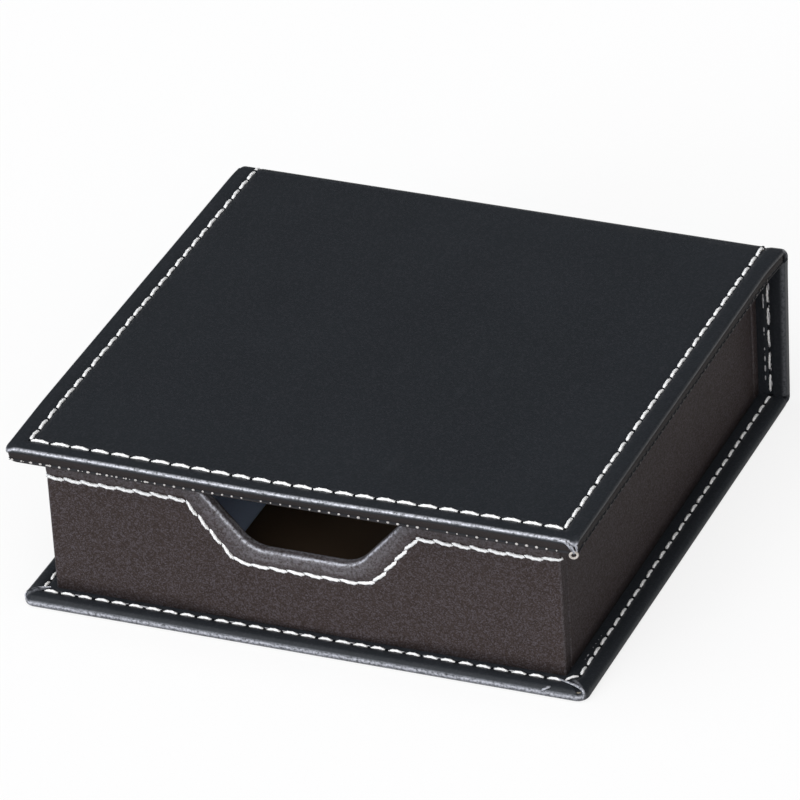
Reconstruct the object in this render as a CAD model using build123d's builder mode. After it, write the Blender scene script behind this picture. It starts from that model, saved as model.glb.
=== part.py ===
from build123d import *
import os

# A hinged hard box for loose notes: three stiff panels in one leather cover, with a tray of four walls inside.
# Millimetres, +Z up, front towards -Y, origin at the centre of the underside.

# Overall size with the lid closed
width = 115.0
depth = 115.0
height = 36.0

# Leather and lining sheets, and the boards that they wrap
skin = 0.5
lid_board_thickness = 2.2
base_board_thickness = 1.4
spine_board_thickness = 2.2
wall_board_thickness = 2.0

# Panels: how far the lid juts past the base, their rounding, and how far the skin turns in
lid_overhang = 0.7
lid_corner_radius = 1.2
base_corner_radius = 2.4
edge_radius = 1.0
base_edge_radius = 0.8
turn_in = 12.0

# Folds: the outer radius of the leather round each rear corner
lid_fold_radius = 3.0
base_fold_radius = 1.2

# Tray: outer size, set-back behind the base's front edge, and the gap under the closed lid
tray_width = 104.0
tray_setback = 4.6
lid_gap = 0.3
rim_radius = 1.2
wall_end_radius = 0.5
turn_down = 9.0

# Finger notch in the front wall
notch_top_width = 46.0
notch_bottom_width = 21.0
notch_depth = 13.9
notch_top_radius = 4.0
notch_bottom_radius = 5.0

# What the tray holds
pad_width = 94.0
pad_depth = 94.0
pad_height = 9.0
card_width = 54.0
card_depth = 86.0
card_thickness = 0.4
card_corner_radius = 3.0
card_shift_x = 8.5
card_shift_y = -2.0

# Derived thicknesses and levels
lid_thickness = lid_board_thickness + 2 * skin
base_thickness = base_board_thickness + 2 * skin
spine_thickness = spine_board_thickness + 2 * skin
wall_thickness = wall_board_thickness + 2 * skin
back_y = depth / 2
spine_y = back_y - spine_thickness
lid_front_y = -depth / 2
base_front_y = lid_front_y + lid_overhang
lid_bottom = height - lid_thickness
wall_top = lid_bottom - lid_gap
wall_height = wall_top - base_thickness
tray_front_y = base_front_y + tray_setback
side_length = spine_y - tray_front_y - 2 * wall_thickness
side_middle_y = (spine_y + tray_front_y) / 2
floor_top = base_thickness + skin


def panel(bottom, thickness, front_y, inset, radius):
    """A flat panel up to the spine, inset on every side, with rounded front corners."""
    with BuildPart() as flat:
        with BuildSketch(Plane.XY.offset(bottom)) as outline:
            with Locations((0, (spine_y + front_y) / 2)):
                Rectangle(width - 2 * inset, spine_y - front_y - 2 * inset)
            fillet(outline.vertices().group_by(Axis.Y)[0], radius)
        extrude(amount=thickness)
    return flat.part


def fold_strip(corner_z, end_z, radius, depth_in, thickness):
    """A strip of sheet bent round a rear corner, depth_in behind the outer surface."""
    toward_z = 1 if end_z > corner_z else -1
    with BuildPart() as strip:
        with BuildSketch(Plane.YZ):
            with BuildLine():
                FilletPolyline(
                    (spine_y, corner_z + toward_z * depth_in),
                    (back_y - depth_in, corner_z + toward_z * depth_in),
                    (back_y - depth_in, end_z),
                    radius=radius - depth_in,
                )
                offset(amount=thickness, side=Side.LEFT if toward_z > 0 else Side.RIGHT)
            make_face()
        extrude(amount=width / 2, both=True)
    return strip.part


def wall_outline(length, inset, notched):
    """A wall seen from outside, its foot on the X axis, inset at its ends and top, with or without the notch."""
    with BuildSketch() as outline:
        with Locations((0, -inset)):
            Rectangle(length, wall_height + inset, align=(Align.CENTER, Align.MIN))
        if notched:
            with BuildLine():
                Polyline(
                    (-notch_top_width / 2, wall_height),
                    (-notch_bottom_width / 2, wall_height - notch_depth),
                    (notch_bottom_width / 2, wall_height - notch_depth),
                    (notch_top_width / 2, wall_height),
                    close=True,
                )
            make_face(mode=Mode.SUBTRACT)
            notch_corners = outline.vertices().filter_by_position(
                Axis.X, -notch_top_width / 2, notch_top_width / 2
            )
            fillet(notch_corners.group_by(Axis.Y)[-1], notch_top_radius)
            floor_corners = outline.vertices().filter_by_position(
                Axis.X, -notch_bottom_width / 2, notch_bottom_width / 2
            )
            fillet(floor_corners, notch_bottom_radius)
        if inset:
            offset(amount=-inset, kind=Kind.INTERSECTION)
    return outline.sketch


def wall_layer(face, length, notched, inset, behind, thickness):
    """One layer of a wall, its outline inset and its outer side that far behind the wall's outer face."""
    with BuildPart() as layer:
        with BuildSketch(face.offset(-behind)):
            add(wall_outline(length, inset, notched))
        extrude(amount=-thickness)
    return layer


def wall_wrap(face, length, notched, board, lining):
    """The leather of a wall: its outer side, rolled over the top and turned down inside to the lining."""
    with BuildPart() as wrap:
        with BuildSketch(face):
            add(wall_outline(length, 0, notched))
        extrude(amount=-wall_thickness)
        along = Axis((0, 0, 0), face.x_dir)
        around = wrap.edges().filter_by(face)
        foot = around.group_by(Axis.Z)[0]
        fillet(around - foot - around.filter_by(Axis.Z), rim_radius)
        fillet(wrap.faces().filter_by(along).edges().filter_by(Axis.Z), wall_end_radius)
        add(board, mode=Mode.SUBTRACT)
        add(lining, mode=Mode.SUBTRACT)
    return wrap


def write(built, name):
    """Labels a finished piece and writes its file."""
    built.part.label = name
    export_step(built.part, f"parts/{name}.step")


os.makedirs("parts", exist_ok=True)

# Lid: board, lining and the skin that wraps both
with BuildPart() as lid_board:
    add(panel(lid_bottom + skin, lid_board_thickness, lid_front_y, skin, lid_corner_radius - skin))

with BuildPart() as lid_lining:
    add(panel(lid_bottom, skin, lid_front_y, turn_in, lid_corner_radius))

with BuildPart() as lid_cover:
    add(panel(lid_bottom, lid_thickness, lid_front_y, 0, lid_corner_radius))
    rims = lid_cover.edges().filter_by(Plane.XY)
    fillet(rims - rims.group_by(Axis.Y)[-1], edge_radius)
    add(lid_board.part, mode=Mode.SUBTRACT)
    add(lid_lining.part, mode=Mode.SUBTRACT)

# Base: the same make, with its lining on top
with BuildPart() as base_board:
    add(panel(skin, base_board_thickness, base_front_y, skin, base_corner_radius - skin))

with BuildPart() as base_lining:
    add(panel(base_thickness - skin, skin, base_front_y, turn_in, base_corner_radius))

with BuildPart() as base_cover:
    add(panel(0, base_thickness, base_front_y, 0, base_corner_radius))
    rims = base_cover.edges().filter_by(Plane.XY)
    fillet(rims - rims.group_by(Axis.Y)[-1], base_edge_radius)
    add(base_board.part, mode=Mode.SUBTRACT)
    add(base_lining.part, mode=Mode.SUBTRACT)

# Spine: it stands between the two folds, with its lining towards the tray
spine_height = lid_bottom - base_thickness

with BuildPart() as spine_board:
    with BuildSketch(Plane.XY.offset(base_thickness + skin)):
        with Locations((0, spine_y + spine_thickness / 2)):
            Rectangle(width - 2 * skin, spine_board_thickness)
    extrude(amount=spine_height - 2 * skin)

with BuildPart() as spine_lining:
    with BuildSketch(Plane.XY.offset(base_thickness)):
        with Locations((0, spine_y + skin / 2)):
            Rectangle(width - 2 * turn_in, skin)
    extrude(amount=spine_height)

with BuildPart() as spine_cover:
    with BuildSketch(Plane.XY.offset(base_thickness)):
        with Locations((0, spine_y + spine_thickness / 2)):
            RectangleRounded(width, spine_thickness, edge_radius)
    extrude(amount=spine_height)
    add(spine_board.part, mode=Mode.SUBTRACT)
    add(spine_lining.part, mode=Mode.SUBTRACT)

# Folds: the outer leather round both rear corners, and the lining strip behind the lid's
with BuildPart() as lid_fold:
    add(fold_strip(height, lid_bottom, lid_fold_radius, 0, skin))

with BuildPart() as lid_fold_lining:
    add(fold_strip(height, lid_bottom, lid_fold_radius, skin, skin))

with BuildPart() as base_fold:
    add(fold_strip(0, base_thickness, base_fold_radius, 0, skin))

# Tray floor
with BuildPart() as floor_lining:
    with BuildSketch(Plane.XY.offset(base_thickness)):
        with Locations((0, side_middle_y)):
            Rectangle(tray_width - 2 * wall_thickness, side_length)
    extrude(amount=skin)

# What it holds: a pad of notes, and a card on top of it
with BuildPart() as note_pad:
    with BuildSketch(Plane.XY.offset(floor_top)):
        with Locations((0, side_middle_y)):
            Rectangle(pad_width, pad_depth)
    extrude(amount=pad_height)

with BuildPart() as insert_card:
    with BuildSketch(Plane.XY.offset(floor_top + pad_height)):
        with Locations((card_shift_x, side_middle_y + card_shift_y)):
            RectangleRounded(card_width, card_depth, card_corner_radius)
    extrude(amount=card_thickness)

write(lid_board, "lid_board")
write(lid_lining, "lid_lining")
write(lid_cover, "lid_cover")
write(base_board, "base_board")
write(base_lining, "base_lining")
write(base_cover, "base_cover")
write(spine_board, "spine_board")
write(spine_lining, "spine_lining")
write(spine_cover, "spine_cover")
write(lid_fold, "lid_fold")
write(lid_fold_lining, "lid_fold_lining")
write(base_fold, "base_fold")
write(floor_lining, "floor_lining")
write(note_pad, "note_pad")
write(insert_card, "insert_card")

# Tray walls: each face has its foot on the base, its width along the wall and its outside away from the tray
front_face = Plane(origin=(0, tray_front_y, base_thickness), x_dir=(1, 0, 0), z_dir=(0, -1, 0))
rear_face = Plane(origin=(0, spine_y, base_thickness), x_dir=(-1, 0, 0), z_dir=(0, 1, 0))
left_face = Plane(
    origin=(-tray_width / 2, side_middle_y, base_thickness), x_dir=(0, -1, 0), z_dir=(-1, 0, 0)
)
right_face = Plane(
    origin=(tray_width / 2, side_middle_y, base_thickness), x_dir=(0, 1, 0), z_dir=(1, 0, 0)
)
walls = [
    ("front_wall", front_face, tray_width, True),
    ("rear_wall", rear_face, tray_width, False),
    ("left_wall", left_face, side_length, False),
    ("right_wall", right_face, side_length, False),
]
for wall, face, length, notched in walls:
    board = wall_layer(face, length, notched, skin, skin, wall_board_thickness)
    lining = wall_layer(face, length, notched, turn_down, wall_thickness - skin, skin)
    cover = wall_wrap(face, length, notched, board.part, lining.part)
    write(board, wall + "_board")
    write(lining, wall + "_lining")
    write(cover, wall + "_cover")
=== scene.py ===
import math

import bpy
from mathutils import Matrix, Vector, noise


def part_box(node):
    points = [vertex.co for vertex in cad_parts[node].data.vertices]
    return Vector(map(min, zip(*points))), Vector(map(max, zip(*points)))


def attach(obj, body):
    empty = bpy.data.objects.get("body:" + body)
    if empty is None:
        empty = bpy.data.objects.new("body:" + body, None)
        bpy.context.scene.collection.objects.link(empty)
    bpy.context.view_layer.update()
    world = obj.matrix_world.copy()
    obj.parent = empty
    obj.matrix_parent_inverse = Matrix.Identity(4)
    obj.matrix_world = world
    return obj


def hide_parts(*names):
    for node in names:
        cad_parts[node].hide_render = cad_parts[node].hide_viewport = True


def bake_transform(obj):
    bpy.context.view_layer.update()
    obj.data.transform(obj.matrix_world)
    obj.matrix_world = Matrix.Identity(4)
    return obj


bl_info = {
    "name": "Leather Note Box",
    "version": (1, 0, 0),
    "blender": (4, 5, 0),
    "location": "3D View > Sidebar > Note Box",
    "description": "Leather, linings, threads and paper for a hinged box of loose notes, on its packed frame",
    "category": "Object",
}

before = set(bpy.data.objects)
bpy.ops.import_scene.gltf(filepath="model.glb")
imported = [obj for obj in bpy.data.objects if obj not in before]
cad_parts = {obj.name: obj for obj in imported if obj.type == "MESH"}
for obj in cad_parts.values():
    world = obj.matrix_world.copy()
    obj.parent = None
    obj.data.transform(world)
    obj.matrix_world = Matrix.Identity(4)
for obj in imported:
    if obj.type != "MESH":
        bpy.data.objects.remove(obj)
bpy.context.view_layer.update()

# One millimetre, the step between neighbouring points on fine and on plain stretches, and the last step
# before a cut edge
MM = 0.001
FINE = 0.3 * MM
PLAIN = 2.0 * MM
RIM = 0.25 * MM

# A quarter turn, full white, and how far the floor reaches to each side
QUARTER = math.pi / 2
WHITE = (1.0, 1.0, 1.0, 1.0)
FLOOR_REACH = 6.0

# Places read from the frame
lid_low, lid_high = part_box("lid_cover")
base_low, base_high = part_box("base_cover")
pad_low, pad_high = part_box("note_pad")
card_low, card_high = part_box("insert_card")
HALF_WIDTH = lid_high.x
TOP = lid_high.z
LID_UNDERSIDE = lid_low.z
LID_FRONT = lid_low.y
BASE_FRONT = base_low.y
BASE_TOP = base_high.z
CREASE = lid_high.y
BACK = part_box("spine_cover")[1].y
LID_THICKNESS = TOP - LID_UNDERSIDE
SPINE_THICKNESS = BACK - CREASE
TURN_IN = HALF_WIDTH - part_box("lid_lining")[1].x

# How far in from a panel's edge, and from its corner, its points stay fine
MARGIN_REACH = 6.0 * MM
CORNER_REACH = 3.6 * MM

# How far below a wall's seam its fine rows end, the thickness of a wall's lining, how far that lining goes up
# under the leather's lower edge, and the rounding of the lid lining's corners
FOOT_GAP = 1.5 * MM
LINING = 0.5 * MM
LINING_TUCK = 0.3 * MM
LINING_CORNER = 0.3 * MM

WALLS = {
    "front_wall": (Vector((1, 0, 0)), Vector((0, -1, 0))),
    "rear_wall": (Vector((-1, 0, 0)), Vector((0, 1, 0))),
    "left_wall": (Vector((0, -1, 0)), Vector((-1, 0, 0))),
    "right_wall": (Vector((0, 1, 0)), Vector((1, 0, 0))),
}

# Raised strips of leather at the corners, coloured as a painted highlight along their folds and beads: body,
# side, width, and points as millimetres in from the side, back from the front and up from the top
CORNER_STRIPS = {
    "lid_corner_bead": (
        "lid",
        1,
        0.42,
        [
            (7.5, 0.25, -0.4),
            (3.1, 0.15, -0.4),
            (1.9, 0.1, -0.75),
            (1.2, 0.12, -1.5),
            (0.8, 0.2, -2.4),
            (0.7, 0.25, -2.9),
        ],
    ),
    "lid_corner_edge": (
        "lid",
        1,
        0.24,
        [(0.9, 0.3, -0.8), (0.4, 0.6, -1.35), (0.3, 0.75, -2.1), (0.35, 0.75, -2.8)],
    ),
    "base_right_tuck": (
        "box",
        1,
        0.3,
        [
            (7.2, 3.5, -0.1),
            (4.3, 2.5, 0.1),
            (2.2, 1.7, 0.1),
            (0.95, 1.0, 0.0),
            (0.65, 0.8, -0.6),
            (0.75, 0.65, -1.4),
        ],
    ),
    "base_left_tuck": (
        "box",
        -1,
        0.18,
        [(4.4, 4.4, 0.0), (2.5, 3.5, 0.1), (1.2, 2.3, 0.0), (0.5, 1.2, -0.4), (0.85, 0.7, -1.1)],
    ),
    "base_right_edge": ("box", 1, 0.42, [(8.7, 0.1, -0.9), (8.0, 0.25, -0.45), (7.1, 0.5, -0.1)]),
}

# Where those strips start on each body: front, top, the way that they face, and their height
CORNER_PLACES = {
    "lid": (LID_FRONT, TOP, (0, -1, 0), 0.28 * MM),
    "box": (BASE_FRONT, BASE_TOP + 0.05 * MM, (0, 0, 1), 0.2 * MM),
}


def length(name, description, default):
    return bpy.props.FloatProperty(
        name=name, description=description, default=default, min=0.0, precision=5, unit="LENGTH"
    )


def factor(name, description, default, highest=1.0):
    return bpy.props.FloatProperty(
        name=name, description=description, default=default, min=0.0, max=highest
    )


def angle(name, description, degrees):
    return bpy.props.FloatProperty(
        name=name, description=description, default=math.radians(degrees), unit="ROTATION"
    )


def count(name, description, default):
    return bpy.props.IntProperty(name=name, description=description, default=default, min=1)


def linear(value):
    """A screen value from 0 to 255 as light from 0 to 1."""
    share = value / 255
    return share / 12.92 if share <= 0.04045 else ((share + 0.055) / 1.055) ** 2.4


def colour(name, description, red, green, blue):
    return bpy.props.FloatVectorProperty(
        name=name,
        description=description,
        default=(linear(red), linear(green), linear(blue), 1.0),
        size=4,
        min=0.0,
        max=1.0,
        subtype="COLOR",
    )


class NoteBoxSizes(bpy.types.PropertyGroup):
    """Sizes of the leather, the threads and the paper"""

    lid_corner: length("Lid corner", "Rounding of the lid's front corners, seen from above", 1.2 * MM)
    base_corner: length("Base corner", "Rounding of the base's front corners, seen from above", 2.4 * MM)
    corner_droop: length("Corner droop", "How far the lid's front corners round down", 1.95 * MM)
    lid_edge: length("Lid edge", "Radius of the bead along the lid's upper edge", 0.6 * MM)
    lid_lip: length("Lid lip", "Radius of the lip along the lid's lower edge", 0.2 * MM)
    lid_groove: length("Lid groove", "Depth of the pricked band between the lid's bead and its lip", 0.3 * MM)
    lid_bow: length("Lid bow", "How far the middle of the lid's upper front edge stands forward", 0.65 * MM)
    lid_tip: length("Lid tip", "How far the lid's left front corner is drawn out", 0.5 * MM)
    spine_edge: length("Spine edge", "Rounding of the leather round the spine's sides", 1.0 * MM)
    base_edge: length("Base edge", "Rounding of the leather over the base's edge", 1.2 * MM)
    base_foot: length("Base foot", "Rounding of the leather under the base's edge", 0.85 * MM)
    lid_fold_radius: length("Lid fold", "Outer radius of the leather from the lid to the spine", 3.0 * MM)
    base_fold_radius: length("Base fold", "Outer radius of the leather from the spine to the base", 1.2 * MM)
    fold_thickness: length("Fold thickness", "Leather and lining together where they fold", 1.0 * MM)
    fold_pinch: length("Fold pinch", "How far the left end of the lid's fold is drawn in", 0.35 * MM)
    fold_press: length("Fold press", "How far the right end of the lid's fold is pressed down", 0.8 * MM)
    lid_flare: length("Lid flare", "How far the lid's left edge runs out towards its rear", 0.35 * MM)
    spine_flare: length("Spine flare", "How far the spine's right edge leans out at its top", 0.5 * MM)
    leather: length("Leather", "Thickness of the leather", 0.45 * MM)
    margin_puff: length("Margin puff", "How far the leather swells between a seam and an edge", 0.08 * MM)
    seam_dip: length("Seam dip", "Depth of the furrow that a seam pulls into the leather", 0.26 * MM)
    seam_dip_width: length("Seam dip width", "Half width of that furrow", 0.55 * MM)
    flap: length("Corner flap", "Height of the leather folded over at a panel's corner", 0.3 * MM)
    flap_gap: length("Flap gap", "Depth of the opening in front of the right flap on the base", 0.4 * MM)
    unevenness: length("Unevenness", "How far the flat leather wavers", 0.05 * MM)

    rim_radius: length("Rim radius", "Rounding of the leather over the top of a wall", 1.2 * MM)
    wall_end: length("Wall end", "Rounding of a wall's upright ends", 0.5 * MM)
    turn_down: length("Turn down", "How far the leather comes down inside a wall", 9.3 * MM)
    lip_puff: length("Lip puff", "How far the lip above the wall's seam swells", 0.28 * MM)
    notch_top: length("Notch top width", "Width of the finger notch at its top", 46.0 * MM)
    notch_bottom: length("Notch bottom width", "Width of the finger notch at its bottom", 21.0 * MM)
    notch_depth: length("Notch depth", "Depth of the finger notch", 13.9 * MM)
    notch_top_radius: length("Notch top radius", "Rounding where the notch starts", 4.0 * MM)
    notch_bottom_radius: length("Notch bottom radius", "Rounding of the notch's lower corners", 7.0 * MM)
    seam_top: length("Wall seam top width", "Width of the wall's seam over the notch, at its top", 47.0 * MM)
    seam_bottom: length("Wall seam bottom width", "Width of the wall's seam under the notch", 27.5 * MM)
    seam_depth: length("Wall seam depth", "Height that the wall's seam drops to pass the notch", 12.1 * MM)
    seam_top_radius: length("Wall seam top radius", "Rounding where the wall's seam turns down", 0.6 * MM)
    seam_bottom_radius: length(
        "Wall seam bottom radius", "Rounding where the wall's seam turns level", 4.5 * MM
    )

    lid_margin: length("Lid margin", "From the lid's edge to its seam", 3.7 * MM)
    base_margin: length("Base margin", "From the base's edge to its seam", 3.2 * MM)
    spine_margin: length("Spine margin", "From the spine's edge to its seam", 3.2 * MM)
    wall_margin: length("Wall margin", "From the top of the front wall to its seam", 5.3 * MM)
    lid_pitch: length("Lid stitch", "Length of one stitch on the lid", 4.0 * MM)
    base_pitch: length("Base stitch", "Length of one stitch on the base", 3.5 * MM)
    spine_pitch: length("Spine stitch", "Length of one stitch on the spine", 4.4 * MM)
    wall_pitch: length("Wall stitch", "Length of one stitch on the front wall", 3.55 * MM)
    fold_pitch: length("Fold stitch", "Length of one stitch on the lid's fold", 2.6 * MM)
    thread: length("Thread", "Radius of the sewing thread", 0.42 * MM)
    needle_hole: length("Needle hole", "Radius of the dark hole between two stitches", 0.36 * MM)

    prick_pitch: length("Prick pitch", "Distance between the pricks along the lid's lower edge", 1.95 * MM)
    prick_radius: length("Prick radius", "Radius of one prick", 0.22 * MM)
    prick_height: length("Prick height", "Height of the row of pricks above the lid's underside", 0.48 * MM)

    sheets: count("Sheets", "Number of note sheets in the pad", 90)
    sheet_shift: length("Sheet shift", "How far one sheet lies off the next", 0.12 * MM)
    card_corner: length("Card corner", "Rounding of the card's corners", 3.0 * MM)


class NoteBoxColours(bpy.types.PropertyGroup):
    """Colours of the finishes"""

    lid: colour("Lid leather", "The smooth leather of the lid, spine and base", 34, 37, 41)
    wall: colour("Wall leather", "The browner leather of the tray's walls", 54, 46, 44)
    # Pale flecks on random pebbles: partly the grain's own tone, partly painted glints of light on the
    # pebbles
    fleck: colour("Fleck", "The palest pebbles of the leather", 100, 96, 104)
    # This edge colour is mostly a painted highlight of the key light along the front edges, with a little
    # rubbing
    bead: colour("Worn edge", "Leather rubbed bright along an edge", 200, 202, 212)
    lining: colour("Lining", "The cloth inside", 24, 23, 24)
    board: colour("Board", "The grey board under the leather", 140, 132, 118)
    thread: colour("Thread", "The sewing thread", 250, 250, 250)
    # The pricks' pale colour is a painted highlight on the thread; the lid's side pricks use a shaded copy of
    # it
    prick: colour("Prick", "The light pricks along the lid's front", 186, 182, 180)
    # The notes' blue tint is the painted colour of the shade inside the box; the paper itself is white
    paper: colour("Paper", "The notes", 196, 216, 250)
    card: colour("Card", "The card on the notes", 70, 55, 40)
    loose: colour("Loose thread", "The thread that hangs out at the lid's corner", 190, 184, 178)
    glue: colour("Glue", "Dried glue along the foot of a wall", 176, 176, 180)
    floor: colour("Floor", "The pale floor", 246, 246, 246)


class NoteBoxView(bpy.types.PropertyGroup):
    """Camera and lights"""

    azimuth: angle("Azimuth", "Direction of the camera, from the front towards the right", 23.99)
    elevation: angle("Elevation", "Height of the camera above the horizon", 30.82)
    roll: angle("Roll", "Turn of the camera about its own axis", -3.72)
    distance: length("Distance", "From the camera to the point that it looks at", 1.36584)
    aim: bpy.props.FloatVectorProperty(
        name="Aim",
        description="Point that the camera looks at",
        default=(-1.99 * MM, 1.57 * MM, 21.77 * MM),
        precision=5,
        subtype="TRANSLATION",
        unit="LENGTH",
    )
    lens: bpy.props.FloatProperty(
        name="Lens", description="Focal length, in millimetres on a 36 mm sensor", default=319.3, min=50.0
    )
    key: factor("Key light", "Strength of the low, soft light from the front left", 1.8, 20.0)
    fill: factor("Fill light", "Strength of the soft light from above", 1.6, 20.0)
    near: factor("Near light", "Strength of the soft light from beside the camera", 1.0, 20.0)
    sky: factor("Sky", "Strength of the soft light from all round", 0.6, 20.0)


def sizes():
    return bpy.context.scene.note_box_sizes


def colours():
    return bpy.context.scene.note_box_colours


def spread_in(start, stop, parts):
    return [start + (stop - start) * i / parts for i in range(parts + 1)]


def spread(start, stop, step):
    """Even values from start to stop, both included, at most a step apart."""
    return spread_in(start, stop, max(1, math.ceil(abs(stop - start) / step - 1e-6)))


def arc(radius, start, stop, step):
    """(turn, distance in, distance down) along a rounding, where a quarter turn lies at its outermost."""
    turns = spread(start, stop, step)
    return [(turn, radius * (1 - math.sin(turn)), radius * (1 - math.cos(turn))) for turn in turns]


def smooth(share):
    """0 up to 0 and 1 from 1, with an even turn between."""
    share = min(1.0, max(0.0, share))
    return share * share * (3 - 2 * share)


def bell(distance, width):
    return math.exp(-((distance / width) ** 2))


def waver(x, y):
    """A slow unevenness of a flat surface."""
    scale, slice_height = 28 * MM, 3.7
    return sizes().unevenness * noise.noise(Vector((x / scale, y / scale, slice_height)))


class Skin:
    """A mesh in the making: points with their rubbing and painted highlight, their dullness, and faces."""

    def __init__(self):
        self.points, self.wear, self.dull, self.faces = [], [], [], []

    def add(self, point, wear=0.0, dull=0.0):
        self.points.append(Vector(point))
        self.wear.append(wear)
        self.dull.append(dull)
        return len(self.points) - 1

    def row(self, points, wear=0.0):
        return [self.add(p, wear) for p in points]

    def join(self, first, second, closed=False):
        """Faces between two rows of the same length."""
        if closed:
            first, second = first + first[:1], second + second[:1]
        for j in range(len(first) - 1):
            self.faces.append((first[j], first[j + 1], second[j + 1], second[j]))

    def cap(self, first, last):
        """Closes both ends of a row of rings."""
        self.faces += [tuple(reversed(first)), tuple(last)]

    def finish(self, name, material, flip=False, sharp=40):
        mesh = bpy.data.meshes.new(name)
        faces = [tuple(reversed(f)) for f in self.faces] if flip else self.faces
        mesh.from_pydata(self.points, [], faces)
        for label, values in (("wear", self.wear), ("dull", self.dull)):
            mesh.attributes.new(label, "FLOAT", "POINT").data.foreach_set("value", values)
        mesh.polygons.foreach_set("use_smooth", [True] * len(mesh.polygons))
        mesh.set_sharp_from_angle(angle=math.radians(sharp))
        mesh.materials.append(material)
        mesh.validate()
        return show(name, mesh)


def show(name, data):
    """A new object in the scene."""
    made = bpy.data.objects.new(name, data)
    bpy.context.scene.collection.objects.link(made)
    return made


def thicken(piece):
    """Gives a skin the thickness of the leather, behind its outer side."""
    wall = piece.modifiers.new("Thickness", "SOLIDIFY")
    wall.thickness = sizes().leather
    wall.offset = -1.0
    wall.use_rim = True
    return piece


def place(piece, body, node, slot):
    """Lets a finished piece ride on a body in the place of its node."""
    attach(piece, body)
    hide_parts(node)


def seam_dip(distance):
    return -sizes().seam_dip * bell(distance, sizes().seam_dip_width)


def margin_height(inset, edge, margin, puff):
    """Height of the leather beside an edge: a furrow at the seam and a slight swelling outside it."""
    height = seam_dip(inset - margin)
    if edge < inset < margin:
        height += puff * math.sin(math.pi * (inset - edge) / (margin - edge))
    return height


def margin_rows(edge, margin, puff):
    """(inset, height, rubbing and painted highlight, dull) from inside a panel's margin to its edge."""
    return [(i, margin_height(i, edge, margin, puff), 0.0, 0.0) for i in spread(MARGIN_REACH, edge, FINE)]


def under_rows(thickness, edge, margin, puff):
    """The same along the other side, from the edge to where the leather ends."""
    fine = reversed(margin_rows(edge, margin, puff)[:-1])
    rows = [(i, -thickness - height, 0.0, 0.0) for i, height, wear, dull in fine]
    plain = spread(MARGIN_REACH, TURN_IN - RIM, PLAIN)[1:] + [TURN_IN]
    return rows + [(i, -thickness, 0.0, 0.0) for i in plain]


def edge_rows(thickness, upper, lower, margin, puffs=(0.0, 0.0)):
    """(inset, height, rubbing and painted highlight, dull) from inside a panel's margin over its round edge
    and back.
    """
    rows = margin_rows(upper, margin, puffs[0])
    # The edge colour is painted halfway round each rounding as a highlight, weaker on the lower one
    for turn, inset, drop in arc(upper, 0, QUARTER, math.pi / 16)[1:]:
        rows.append((inset, -drop, math.sin(2 * turn) ** 2, 0.0))
    rows += [(0.0, height, 0.0, 0.0) for height in spread(-upper, lower - thickness, FINE)[1:]]
    for turn, inset, drop in arc(lower, QUARTER, 0, math.pi / 14)[1:]:
        rows.append((inset, drop - thickness, 0.4 * math.sin(2 * turn) ** 2, 0.0))
    return rows + under_rows(thickness, lower, margin, puffs[1])


def base_rows():
    """The same over the base's edge, with a painted highlight where it faces forward."""
    s = sizes()
    highlight_from, highlight_to, brighter_from, blend = 0.1 * MM, 1.6 * MM, 0.7 * MM, 0.3 * MM
    rows = []
    for inset, height, wear, dull in edge_rows(
        BASE_TOP, s.base_foot, s.base_edge, s.base_margin, (0.0, s.margin_puff)
    ):
        # Painted highlight on the forward-facing part of the base's edge, from 0.1 mm to about 1.6 mm up,
        # brighter above 1 mm
        wear = smooth((highlight_to + height) / (0.35 * MM)) * smooth((-height - highlight_from) / blend)
        rows.append((inset, height, wear * (0.35 + 0.6 * smooth((-height - brighter_from) / blend)), dull))
    return rows


def lid_rows():
    """The same over the lid's edge: a bead with a painted highlight, a pricked band pressed in under it, and
    a thin lip.
    """
    s = sizes()
    bead_end, lip_start, brightest_turn = math.radians(125), math.radians(130), 1.05
    lip_inset, band_gap, band_bow = 0.08 * MM, 0.15 * MM, 0.06 * MM
    rows = margin_rows(s.lid_edge, s.lid_margin, s.margin_puff)
    # Painted highlight along the bead, brightest where it turns towards the key light
    for turn, inset, drop in arc(s.lid_edge, 0, bead_end, math.pi / 20)[1:]:
        rows.append((inset, -drop, bell(turn - brightest_turn, 0.5), 0.0))
    top, bottom = rows[-1][1] - band_gap, 2.2 * s.lid_lip - LID_THICKNESS
    for share in spread_in(0, 1, 8):
        bow, dull = band_bow * math.sin(math.pi * share), smooth(6 * share) * smooth(6 - 6 * share)
        rows.append((s.lid_groove - bow, top + (bottom - top) * share, 0.0, dull))
    for turn, inset, drop in arc(s.lid_lip, lip_start, 0, math.pi / 12):
        rows.append((lip_inset + inset, drop - LID_THICKNESS, 0.0, 0.7))
    return rows + under_rows(LID_THICKNESS, s.lid_lip + lip_inset, s.lid_margin, s.margin_puff)


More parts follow.
